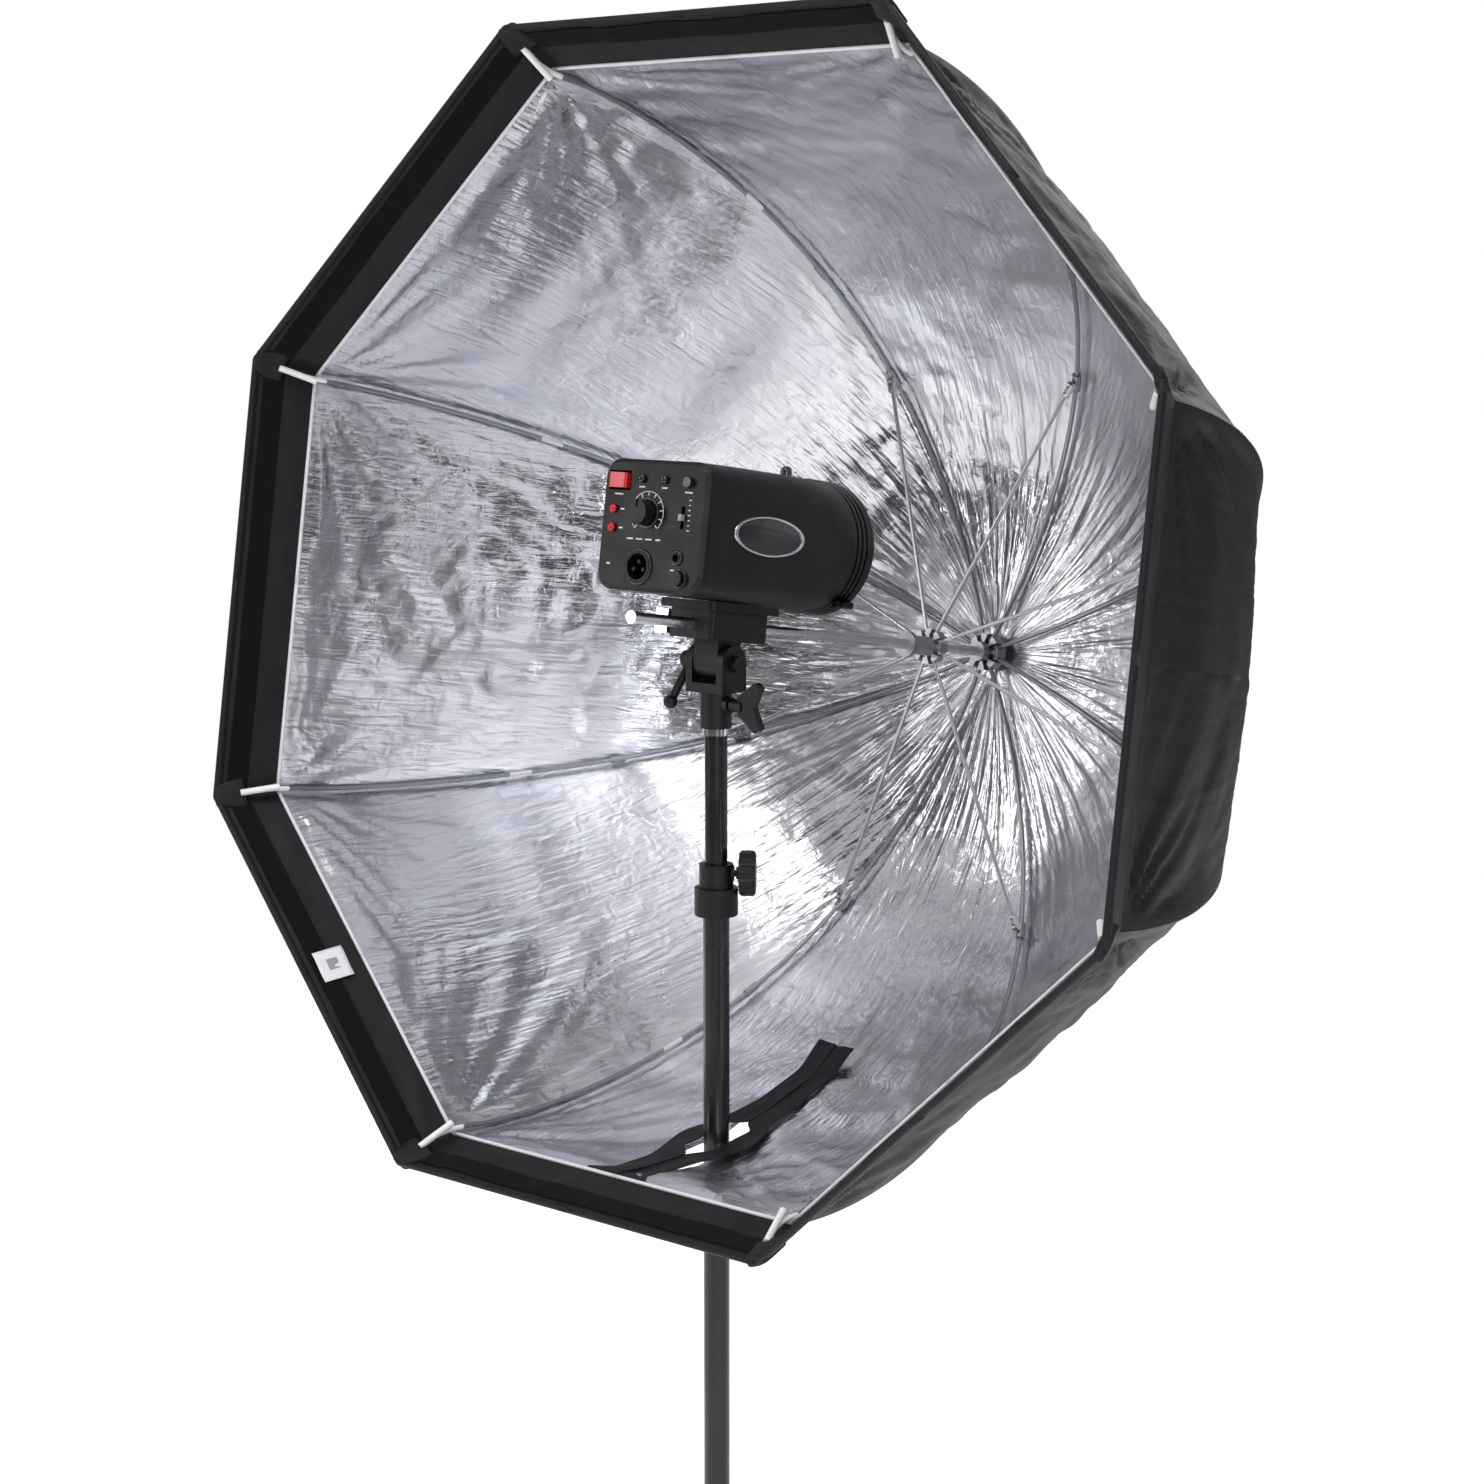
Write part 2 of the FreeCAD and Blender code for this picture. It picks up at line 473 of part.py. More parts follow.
def make_tilt_head():
    p = PIVOT_HEIGHT
    lug = fuse(rod(V(-12.8, 0, p), V(12.8, 0, p), 14), block(V(-12.8, -14, p), V(12.8, 14, p + 20)))
    top = block(V(-24, -36, SHAFT_Z - 12), V(24, 34, SHAFT_Z + 12))
    top = top.makeFillet(4, [e for e in top.Edges if e.BoundBox.ZLength > 20])
    foot = block(V(-30, -44, SHAFT_Z + 12), V(30, 42, SHAFT_Z + HEAD_BOTTOM - 1.2))
    foot = foot.makeFillet(6, [e for e in foot.Edges if e.BoundBox.ZLength > 6])
    boss = rod(V(-20, -16, SHAFT_Z - 1), V(-28, -16, SHAFT_Z - 1), 6.5)
    body = fuse(lug, top, foot, boss)
    body = body.cut(rod(V(0, -80, SHAFT_Z), V(0, 80, SHAFT_Z), SHAFT_R + RUNNING))
    body = body.cut(rod(V(-40, 0, p), V(40, 0, p), 3 + RUNNING))
    body = body.cut(rod(V(-60, -16, SHAFT_Z), V(-5, -16, SHAFT_Z), 2.5 + RUNNING))
    save("tilt_head", *tilted(body))

    bolt = rod(V(-22, 0, p), V(21, 0, p), 3)
    nut = rod(V(20.4, 0, p), V(26, 0, p), 7)
    hub = rod(V(-33, 0, p), V(-20.5, 0, p), 7.5)
    ball = V(-31, -16, p - 36)
    arm = fuse(rod(V(-27, 0, p), ball, 3.6), Part.makeSphere(6.0, ball))
    save("tilt_lever", *tilted(fuse(bolt, nut, hub, arm)))

    screw = fuse(rod(V(-38, -16, SHAFT_Z), V(-SHAFT_R - 0.6, -16, SHAFT_Z), 2.5),
                 rod(V(-42, -16, SHAFT_Z), V(-29, -16, SHAFT_Z), 5.0),
                 block(V(-54, -18.5, SHAFT_Z - 10), V(-41, -13.5, SHAFT_Z + 10)))
    save("shaft_screw", *tilted(screw))


# --- flash head -------------------------------------------------------------------------------
def head_section(y, width, height, corner, inset):
    """A rounded rectangle across the head, as one closed wire."""
    hw, hh, r = width / 2 - inset, height / 2 - inset, corner - inset
    c = HEAD_MIDDLE
    k = r * (1 - math.sqrt(0.5))
    edges = []
    for sx, sz in ((1, 1), (1, -1), (-1, -1), (-1, 1)):
        a = V(sx * hw, y, c + sz * (hh - r))
        m = V(sx * (hw - k), y, c + sz * (hh - k))
        b = V(sx * (hw - r), y, c + sz * hh)
        first, last = (b, a) if sx * sz > 0 else (a, b)
        edges.append((first, m, last))
    wire = []
    for n, (first, m, last) in enumerate(edges):
        wire.append(Part.Arc(first, m, last).toShape())
        wire.append(Part.makeLine(last, edges[(n + 1) % 4][0]))
    return Part.Wire(wire)


def head_loft(inset, rear, front):
    w, h = HEAD_WIDTH, HEAD_HEIGHT
    return Part.makeLoft([head_section(rear, w - 2, h - 2, HEAD_CORNER, inset),
                          head_section(-20, w, h, HEAD_CORNER + 4, inset),
                          head_section(48, w, h + 1, 28, inset),
                          head_section(front, w, h + 3, 52, inset)], True)


def make_head():
    rear_face = HEAD_REAR + 7
    shell = head_loft(0, rear_face, HEAD_RING).cut(head_loft(HEAD_WALL, rear_face - 1, HEAD_RING + 1))
    shell = shell.cut(rod(V(0, 10, HEAD_MIDDLE - 70), V(0, 10, HEAD_MIDDLE - 40), 4))
    save("head_shell", *tilted(shell))

    panel = Part.makeLoft([head_section(HEAD_REAR, HEAD_WIDTH - 8, HEAD_HEIGHT - 8, HEAD_CORNER, 0),
                           head_section(HEAD_REAR + 3, HEAD_WIDTH - 2, HEAD_HEIGHT - 2, HEAD_CORNER, 0),
                           head_section(rear_face - 0.3, HEAD_WIDTH - 2, HEAD_HEIGHT - 2, HEAD_CORNER, 0)],
                          True, True)
    step = head_loft(HEAD_WALL + 0.3, rear_face - 0.4, HEAD_RING).common(
        block(V(-70, rear_face - 1, HEAD_MIDDLE - 70), V(70, rear_face + 5, HEAD_MIDDLE + 70)))
    panel = fuse(panel, step)
    panel = panel.cut(block(V(-51, rear_face - 3, HEAD_MIDDLE - 47), V(51, rear_face + 9, HEAD_MIDDLE + 47)))
    panel = panel.cut(Part.makeCompound(panel_holes()))
    save("rear_panel", *tilted(panel))

    c = HEAD_MIDDLE
    ring = rod(V(0, HEAD_RING + 0.3, c), V(0, HEAD_FRONT, c), 57)
    ring = ring.makeFillet(3, [e for e in ring.Edges if e.BoundBox.YMin > HEAD_FRONT - 0.1])
    for y in (99, 105, 111):
        ring = ring.cut(pipe(V(0, y, c), V(0, y + 2.4, c), 70, 55.4))
    ring = ring.cut(rod(V(0, 0, c), V(0, 200, c), 49))
    save("front_ring", *tilted(ring))

    dish = Part.makeCone(30, 48.5, 26, V(0, HEAD_FRONT - 30, c), Y)
    dish = dish.cut(Part.makeCone(28.5, 47.5, 26, V(0, HEAD_FRONT - 29, c), Y))
    dish = dish.cut(rod(V(0, HEAD_FRONT - 40, c), V(0, HEAD_FRONT - 20, c), 24))
    socket = rod(V(0, HEAD_FRONT - 60, c), V(0, HEAD_FRONT - 28.5, c), 23.8)
    save("reflector", *tilted(dish, socket))
    tube = Part.makeTorus(20, 3.5, V(0, HEAD_FRONT - 18, c), Y)
    legs = [rod(V(x, HEAD_FRONT - 28.3, c), V(x, HEAD_FRONT - 18, c), 3.4) for x in (-20, 20)]
    save("flash_tube", *tilted(fuse(tube, *legs)))
    bulb = fuse(rod(V(0, HEAD_FRONT - 28.3, c), V(0, HEAD_FRONT - 14, c), 8),
                Part.makeSphere(9.5, V(0, HEAD_FRONT - 13, c)))
    save("modelling_lamp", *tilted(bulb))

    board = block(V(-44, -78, c - 46), V(44, 30, c - 44))
    cans = [rod(V(x, -30, c - 18), V(x, 30, c - 18), 17) for x in (-24, 24)]
    fan = pipe(V(0, 44, c), V(0, 54, c), 32, 8)
    save("circuit_board", *tilted(board, *cans, fan))


def panel_holes():
    """Openings in the control panel, one for each control, cut right through it."""
    y0, y1 = HEAD_REAR - 5, HEAD_REAR + 12
    c = HEAD_MIDDLE

    def hole(x, z, r):
        return rod(V(x, y0, c + z), V(x, y1, c + z), r)
    sx, sz = SWITCH_PLACE
    kx, kz = SLIDER_PLACE
    return [block(V(sx - 11.3, y0, c + sz - 7.8), V(sx + 11.3, y1, c + sz + 7.8)),
            hole(*DIAL_PLACE, 3 + RUNNING),
            hole(*TEST_PLACE, 4.3),
            block(V(kx - 1.8, y0, c + kz - 9), V(kx + 1.8, y1, c + kz + 9)),
            hole(*INLET_PLACE, 13), hole(*SYNC_PLACE, 4.5), hole(*FUSE_PLACE, 6.5)] + [
                hole(x, z, LAMP_R) for x, z in LAMP_PLACES]


# Places on the control panel, from its centre, as seen from behind: x right, z up.
SWITCH_PLACE = (-38, 35)
DIAL_PLACE = (-6, 10)
TEST_PLACE = (36, 36)
SLIDER_PLACE = (32, 8)
INLET_PLACE = (-10, -33)
SYNC_PLACE = (30, -24)
FUSE_PLACE = (34, -40)
LAMP_PLACES = [(-42, 12), (-42, -3), (-14, 37), (10, 37)]
LAMP_R = 3.6


def make_controls():
    c, y = HEAD_MIDDLE, HEAD_REAR
    sx, sz = SWITCH_PLACE
    rocker = block(V(sx - 9.5, y - 4, c + sz - 6), V(sx + 9.5, y + 6, c + sz + 6))
    rocker = rocker.makeFillet(2, [e for e in rocker.Edges if e.BoundBox.ZLength > 11
                                   and e.BoundBox.YMin < y - 3])
    save("power_switch", *tilted(rocker))
    dx, dz = DIAL_PLACE
    dial = fuse(rod(V(dx, y - 13, c + dz), V(dx, y - 1, c + dz), 10),
                rod(V(dx, y - 2, c + dz), V(dx, y + 10, c + dz), 3))
    dial = dial.cut(block(V(dx - 1, y - 14, c + dz + 4), V(dx + 1, y - 11.5, c + dz + 11)))
    save("power_dial", *tilted(dial))
    tx, tz = TEST_PLACE
    save("test_button", *tilted(fuse(rod(V(tx, y - 4, c + tz), V(tx, y + 6, c + tz), 4),
                                     rod(V(tx, y + 5.2, c + tz), V(tx, y + 7, c + tz), 5.4))))
    kx, kz = SLIDER_PLACE
    save("mode_switch", *tilted(block(V(kx - 1.5, y - 4, c + kz - 2.5), V(kx + 1.5, y + 5, c + kz + 2.5))))

    ix, iz = INLET_PLACE
    inlet = rod(V(ix, y - 2, c + iz), V(ix, y + 16, c + iz), 12.8)
    inlet = inlet.cut(rod(V(ix, y - 3, c + iz), V(ix, y + 12, c + iz), 10.6))
    prongs = [rod(V(ix + px, y, c + iz + pz), V(ix + px, y + 12.5, c + iz + pz), 1.6)
              for px, pz in ((-5, -2), (5, -2), (0, 4))]
    jx, jz = SYNC_PLACE
    jack = pipe(V(jx, y - 2, c + jz), V(jx, y + 12, c + jz), 4.4, 3.2)
    fx, fz = FUSE_PLACE
    fuse_cap = rod(V(fx, y - 5, c + fz), V(fx, y + 12, c + fz), 6.2)
    lamps = [rod(V(x, y - 1.5, c + z), V(x, y + 8, c + z), LAMP_R - 0.1) for x, z in LAMP_PLACES]
    save("panel_fittings", *tilted(fuse(inlet, *prongs), jack, fuse_cap, *lamps))

    top = HEAD_MIDDLE + HEAD_HEIGHT / 2 + 1.1
    cell = fuse(rod(V(0, 66, top - 1), V(0, 66, top + 5), 5), Part.makeSphere(5, V(0, 66, top + 5)))
    cell = cell.cut(head_loft(-0.05, HEAD_REAR + 7, HEAD_RING))
    save("sensor_dome", *tilted(cell))
    low = HEAD_MIDDLE - 57
    latch = fuse(block(V(32, 104, low + 9.5), V(44, 118, low + 13)),
                 rod(V(38, 100, low + 11), V(38, 122, low + 11), 3))
    latch = latch.cut(rod(V(0, 90, c), V(0, 140, c), 57.4))
    save("ring_latch", *tilted(latch))


make_canopy()
make_lip()
make_shaft()
make_ribs()
make_columns()
make_tripod()
make_bracket()
make_tilt_head()
make_head()
make_controls()
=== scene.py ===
import math

import bmesh
import bpy
from mathutils import Matrix, Vector, noise


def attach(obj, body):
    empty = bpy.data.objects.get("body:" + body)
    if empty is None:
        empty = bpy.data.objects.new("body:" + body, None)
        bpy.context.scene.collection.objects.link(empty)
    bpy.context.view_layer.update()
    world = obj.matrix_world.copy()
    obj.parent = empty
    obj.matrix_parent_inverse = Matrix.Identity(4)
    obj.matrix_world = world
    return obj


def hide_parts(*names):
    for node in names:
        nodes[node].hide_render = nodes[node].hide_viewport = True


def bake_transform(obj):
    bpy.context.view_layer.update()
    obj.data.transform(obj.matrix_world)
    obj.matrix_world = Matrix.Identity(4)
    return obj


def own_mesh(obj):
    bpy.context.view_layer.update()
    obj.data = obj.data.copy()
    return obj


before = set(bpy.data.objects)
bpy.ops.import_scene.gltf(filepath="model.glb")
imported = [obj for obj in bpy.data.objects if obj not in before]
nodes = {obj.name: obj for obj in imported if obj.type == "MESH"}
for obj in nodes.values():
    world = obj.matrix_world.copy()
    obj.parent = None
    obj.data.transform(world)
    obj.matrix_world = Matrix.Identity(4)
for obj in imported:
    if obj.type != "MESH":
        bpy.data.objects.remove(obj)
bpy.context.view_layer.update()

# ---- Place of the camera, and the studio round the object
# A pale floor, a white room and large soft lights. The camera stands at eye height, on the right of
# the mouth, and looks down at it by 9 degrees.
CAMERA_PLACE = Vector((1.553, -1.782, 1.719))
CAMERA_LOOK = Vector((-0.6434, 0.7519, -0.1529)).normalized()
CAMERA_LENS = 70.5

eye = bpy.data.cameras.new("eye")
eye.lens = CAMERA_LENS
eye.sensor_width = 36
eye.clip_end = 60
camera = bpy.data.objects.new("eye", eye)
right = CAMERA_LOOK.cross(Vector((0, 0, 1))).normalized()
camera.matrix_world = Matrix.Translation(CAMERA_PLACE) @ Matrix(
    (right, right.cross(CAMERA_LOOK), -CAMERA_LOOK)).transposed().to_4x4()
bpy.context.scene.collection.objects.link(camera)
bpy.context.scene.camera = camera
bpy.context.scene.view_settings.view_transform = "Standard"


def colour(code):
    """An sRGB hex value as the linear colour that a shader takes."""
    parts = [int(code[i:i + 2], 16) / 255 for i in (1, 3, 5)]
    return [c / 12.92 if c <= 0.04045 else ((c + 0.055) / 1.055) ** 2.4 for c in parts] + [1.0]


def add(tree, kind, settings=None, **links):
    """Adds a node. Settings are its options or input values; links give (node, output) by input."""
    node = tree.nodes.new(kind)
    for name, value in (settings or {}).items():
        if isinstance(name, str) and hasattr(node, name):
            setattr(node, name, value)
        else:
            node.inputs[name].default_value = value
    for name, (source, output) in links.items():
        tree.links.new(source.outputs[output], node.inputs[name.replace("_", " ")])
    return node


def add_light(name, place, target, size, power, tint):
    """A soft rectangular light, size metres wide and high, turned to its target."""
    lamp = bpy.data.lights.new(name, "AREA")
    lamp.shape = "RECTANGLE"
    lamp.size, lamp.size_y = size
    lamp.energy = power
    lamp.color = colour(tint)[:3]
    holder = bpy.data.objects.new(name, lamp)
    away = (Vector(place) - Vector(target)).to_track_quat("Z", "Y")
    holder.matrix_world = Matrix.Translation(place) @ away.to_matrix().to_4x4()
    bpy.context.scene.collection.objects.link(holder)


MOUTH_TARGET = (0.0, 0.0, 1.4)
add_light("soft_window_left", (-3.4, -3.6, 2.6), MOUTH_TARGET, (1.0, 3.4), 70, "#FFFFFF")
add_light("soft_window_right", (3.6, -2.6, 2.4), MOUTH_TARGET, (1.2, 2.6), 60, "#F4F6FF")
add_light("overhead", (0.6, -1.2, 4.6), MOUTH_TARGET, (2.4, 2.0), 60, "#FFFFFF")
add_light("back_wash", (-1.5, 3.6, 3.0), MOUTH_TARGET, (3.0, 2.0), 60, "#FFFFFF")

# The room is white where it is looked at. The lining reflects bands of grey and white instead,
# which give it something dark to show.
room = bpy.data.worlds.new("room")
room.use_nodes = True
bpy.context.scene.world = room
tree = room.node_tree
tree.nodes.clear()
direction = add(tree, "ShaderNodeTexCoord")
axes = add(tree, "ShaderNodeSeparateXYZ", Vector=(direction, "Generated"))
height = add(tree, "ShaderNodeValToRGB", Fac=(axes, "Z"))
steps = height.color_ramp
steps.elements[0].position, steps.elements[0].color = 0.0, colour("#3A3B3D")
steps.elements[1].position, steps.elements[1].color = 1.0, colour("#F2F3F7")
ROOM_BANDS = ((0.04, "#1C1C1E"), (0.15, "#2A2A2D"), (0.21, "#FFFFFF"), (0.29, "#F6F6F8"),
              (0.34, "#2E2E31"), (0.47, "#2C2C2F"), (0.55, "#FFFFFF"))
for position, tint in ROOM_BANDS:
    steps.elements.new(position).color = colour(tint)
seen = add(tree, "ShaderNodeLightPath")
lit = add(tree, "ShaderNodeBackground", {"Strength": 0.62}, Color=(height, "Color"))
plain = add(tree, "ShaderNodeBackground", {"Color": colour("#FFFFFF"), "Strength": 1.0})
both = add(tree, "ShaderNodeMixShader", Fac=(seen, "Is Camera Ray"))
tree.links.new(lit.outputs[0], both.inputs[1])
tree.links.new(plain.outputs[0], both.inputs[2])
add(tree, "ShaderNodeOutputWorld", Surface=(both, "Shader"))


def new_material(name, tint, roughness, **sockets):
    """A Principled material: its colour, its roughness and any other socket, by name."""
    made = bpy.data.materials.new(name)
    made.use_nodes = True
    shader = made.node_tree.nodes["Principled BSDF"]
    shader.inputs["Base Color"].default_value = colour(tint)
    shader.inputs["Roughness"].default_value = roughness
    for socket, value in sockets.items():
        shader.inputs[socket.replace("_", " ")].default_value = value
    made.diffuse_color = colour(tint)
    return made, made.node_tree, shader


def piece_from(name, bm, *materials):
    """The finished bmesh as an object of the scene, with its materials."""
    mesh = bpy.data.meshes.new(name)
    for edge in bm.edges:  # a cut edge stays crisp when the cloth is thickened
        edge.smooth = not edge.is_boundary
    bm.to_mesh(mesh)
    bm.free()
    for polygon in mesh.polygons:
        polygon.use_smooth = True
    made = bpy.data.objects.new(name, mesh)
    for material in materials:
        mesh.materials.append(material)
    bpy.context.scene.collection.objects.link(made)
    return made


floor_paint, tree, shader = new_material("pale_floor_paint", "#F4F4F3", 0.6,
                                        Emission_Color=colour("#FFFFFF"), Emission_Strength=0.6)
place = add(tree, "ShaderNodeTexCoord")
cloud = add(tree, "ShaderNodeTexNoise", {"Scale": 1.2, "Detail": 2.0}, Vector=(place, "Object"))
shades = add(tree, "ShaderNodeMapRange", {"To Min": 0.55, "To Max": 0.7}, Value=(cloud, "Fac"))
tree.links.new(shades.outputs["Result"], shader.inputs["Roughness"])
bm = bmesh.new()
bmesh.ops.create_circle(bm, cap_ends=True, segments=96, radius=5.5)
floor = piece_from("floor", bm, floor_paint)

# ---- Canopy gores
# Eight gores of silver-coated polyester, black outside, sewn into a deep dome and stretched flat
# between the ribs. The light coated cloth is creased where it is gathered at the crown and at the
# corners. Each gore is two halves here, one beside each of its ribs.
SLOPE = math.radians(8.6)
PIVOT_HEIGHT = 1.420
SHAFT_HEIGHT = 1.450
MOUTH = -0.11438
EDGE_RADIUS = 0.4888
EDGE_DEPTH = 0.05083
CROWN_DEPTH = 0.5063
CROWN_ANGLE = math.radians(89.55)
HALF_GORE = math.radians(22.5)
CLOTH = 0.0007
SLOT_HALF = 0.0145
SLOT_ENDS = (-0.048, 0.202)
POLE_CROSSING = 0.061
SLOT_TAPER = 0.012
ACROSS, ALONG = 46, 130


def tilted(x, y, z):
    """A point given with the shaft level, where it is with the shaft sloping."""
    up = z - PIVOT_HEIGHT
    return Vector((x, y * math.cos(SLOPE) + up * math.sin(SLOPE),
                   PIVOT_HEIGHT - y * math.sin(SLOPE) + up * math.cos(SLOPE)))


def dome(angle):
    """Radius and depth of a seam of the dome, from the lining's edge at 0 to the crown."""
    return (EDGE_RADIUS * math.cos(angle) ** 0.75,
            EDGE_DEPTH + (CROWN_DEPTH - EDGE_DEPTH) * math.sin(angle) ** (2 / 1.7))


def at(radius, depth, turn):
    """A level point at that radius and depth behind the mouth, clockwise from the top."""
    return Vector((radius * math.sin(turn), MOUTH + depth, SHAFT_HEIGHT + radius * math.cos(turn)))


def smooth(x):
    """0 below 0 and 1 above 1, with an even rise between them."""
    x = min(max(x, 0.0), 1.0)
    return x * x * (3 - 2 * x)


def middle_of(gore):
    """The turn from the top to the middle of a gore, in degrees. Gore 0 is the bottom one."""
    return 180 + 45 * gore


def rib_beside(gore, side):
    """Number of the rib at that side of a gore, and the turn from the top to it."""
    turn = middle_of(gore) + 22.5 * side
    return int(round((turn - 22.5) / 45)) % 8 + 1, math.radians(turn)


def follow_rib(piece):
    """Bakes the piece's placement into its mesh; the piece is not tied to the rib."""
    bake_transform(piece)


def slot_gap(y):
    """Half the width of the opening for the pole, at that place along the shaft."""
    ends = [smooth((y - SLOT_ENDS[0]) / SLOT_TAPER), smooth((SLOT_ENDS[1] - y) / SLOT_TAPER)]
    return SLOT_HALF * ends[0] * ends[1]


def ridged(x, y, z):
    """Noise folded at zero, which gives sharp creases between rounded pillows."""
    return 1 - 2 * abs(noise.noise(Vector((x, y, z))))


def settle(degrees, place, gore, radius):
    """Levels the pattern of creases where the halves of a gore meet, so that they join smoothly."""
    middle = middle_of(gore)
    off = (degrees - middle + 180) % 360 - 180
    near = abs(off) ** 2 / (abs(off) + 1.2) * (1 if off > 0 else -1)
    angle = math.radians(middle + near)
    across = Vector((math.sin(angle), 0, math.cos(angle)))
    return middle + near, Vector((radius * across.x, place.y, SHAFT_HEIGHT + radius * across.z))


def crease(u, arc, radius, turn, place, half_width, gore):
    """How far the cloth stands off the smooth gore, in metres, towards the shaft."""
    slack = smooth((1 - u) / 0.12) * smooth(arc / 0.018)
    degrees, place = settle(math.degrees(turn), place, gore, radius)
    # gathered pleats round the crown, and fine streaks that run along the seams
    gathers = smooth((0.36 - radius) / 0.22) * smooth((radius - 0.018) / 0.03)
    pleats = gathers * (0.0016 * ridged(degrees * 0.19, radius * 5, 3.1)
                        + 0.0008 * ridged(degrees * 0.47, radius * 9, 7.7))
    streaks = (0.00045 * ridged(degrees * 0.62, arc * 7, 2.9)
               + 0.00025 * ridged(degrees * 1.35, arc * 11, 8.3)) * smooth(radius / 0.15)
    # pulls that fan out from the corners of the mouth
    from_seam = (1 - u) * half_width
    reach = math.hypot(from_seam, arc)
    fan = math.atan2(arc, from_seam + 1e-6)
    corner = smooth(reach / 0.05) * math.exp(-reach / 0.17)
    lean = 1.3 + 2.1 * (degrees > middle_of(gore))
    pulls = corner * (0.0046 * ridged(fan * 4.6 + 5.3 * gore, reach * 5, lean)
                      + 0.0024 * ridged(fan * 10.5 + 3.1 * gore, reach * 9, lean + 4))
    # ripples along the gore, patches of crumpled foil, slow swells, and slack at mid-gore
    ripple = (0.0016 * noise.noise(Vector((arc * 21, degrees * 0.035, 6.6 + gore)))
              * smooth(radius / 0.2))
    calm = smooth(0.5 + 1.6 * noise.noise(place * 3.1 + Vector((4, 1, 9))))
    foil = calm * (0.0022 * ridged(*(place * 13)) + 0.0015 * ridged(*(place * 31)))
    swell = 0.0035 * noise.noise(place * 6.5)
    hang = 0.004 * math.cos(math.pi / 2 * u) * smooth(arc / 0.1) * smooth(radius / 0.3)
    return slack * (pleats + pulls + foil + swell + ripple + streaks) - hang


def face_towards(bm, point):
    """Turns a sheet's faces so that its first side is the one that faces the point."""
    bm.faces.ensure_lookup_table()
    probe = bm.faces[len(bm.faces) // 3]
    if probe.normal.dot(point - probe.calc_center_median()) < 0:
        bmesh.ops.reverse_faces(bm, faces=bm.faces)
        bm.normal_update()


def gore_half(gore, side):
    """Half a gore, from its middle to a rib and from the lining's edge to the crown."""
    bm = bmesh.new()
    bmesh.ops.create_grid(bm, x_segments=ACROSS, y_segments=ALONG, size=0.5)
    cloth = bm.loops.layers.uv.new("cloth")
    middle = math.radians(middle_of(gore))
    seam = rib_beside(gore, side)[1]
    rows = {}
    for i in range(ALONG + 1):
        v = i / ALONG
        angle = CROWN_ANGLE * (1 - (1 - v) ** 1.3)
        radius, depth = dome(angle)
        arc = 0.0
        if i:
            last = rows[i - 1]
            arc = last[2] + math.hypot(radius - last[0], depth - last[1])
        rows[i] = (radius, depth, arc)
    where = {}
    for vert in bm.verts:
        u, i = vert.co.x + 0.5, int(round((vert.co.y + 0.5) * ALONG))
        radius, depth, arc = rows[i]
        mid, edge = at(radius * math.cos(HALF_GORE), depth, middle), at(radius, depth, seam)
        if gore == 0:
            mid = mid + Vector((math.copysign(slot_gap(mid.y), edge.x), 0, 0))
        level = mid.lerp(edge, u)
        turn = math.atan2(level.x, level.z - SHAFT_HEIGHT)
        half_width = radius * math.sin(HALF_GORE)
        where[vert] = (u, arc, radius, turn, level.copy(), half_width, gore)
        vert.co = tilted(*level)
    bm.normal_update()
    face_towards(bm, tilted(0, 0, SHAFT_HEIGHT))
    moves = {vert: vert.normal * crease(*where[vert]) for vert in bm.verts}
    for vert, move in moves.items():
        vert.co += move
    for face in bm.faces:
        for loop in face.loops:
            u, arc, _, _, _, half_width, _ = where[loop.vert]
            loop[cloth].uv = (u * half_width, arc)
    return bm


# Silver coating rolled onto taffeta: a soft metal sheen, broken by a fine crackle of creases.
silver, tree, shader = new_material("silver_coated_polyester", "#D8D8DC", 0.3, Metallic=1.0)
place = add(tree, "ShaderNodeTexCoord")
# creases about 9 mm apart, then 3 mm
folds = add(tree, "ShaderNodeTexNoise", {"Scale": 55.0, "Detail": 4.0, "Distortion": 1.2},
            Vector=(place, "Object"))
flat_cut = add(tree, "ShaderNodeUVMap", {"uv_map": "cloth"})
# the cloth is pulled along the ribs, so its finest creases run that way, 5 mm apart
pulled = add(tree, "ShaderNodeMapping", {"Scale": (1, 0.13, 1)}, Vector=(flat_cut, "UV"))
cells = add(tree, "ShaderNodeTexNoise", {"Scale": 190.0, "Detail": 3.0, "Distortion": 0.4},
            Vector=(pulled, "Vector"))
clouds = add(tree, "ShaderNodeTexNoise", {"Scale": 5.0, "Detail": 3.0}, Vector=(place, "Object"))
gloss = add(tree, "ShaderNodeMapRange", {"From Min": 0.3, "From Max": 0.7, "To Min": 0.16,
                                         "To Max": 0.36}, Value=(clouds, "Fac"))
tree.links.new(gloss.outputs["Result"], shader.inputs["Roughness"])
tint = add(tree, "ShaderNodeMix", {"data_type": "RGBA", 6: colour("#C6C6CB"), 7: colour("#E8E8EC")})
tree.links.new(clouds.outputs["Fac"], tint.inputs[0])
tree.links.new(tint.outputs[2], shader.inputs["Base Color"])
large = add(tree, "ShaderNodeBump", {"Strength": 0.35, "Distance": 0.002}, Height=(folds, "Fac"))
small = add(tree, "ShaderNodeBump", {"Strength": 0.75, "Distance": 0.0014},
            Height=(cells, "Fac"), Normal=(large, "Normal"))
tree.links.new(small.outputs["Normal"], shader.inputs["Normal"])

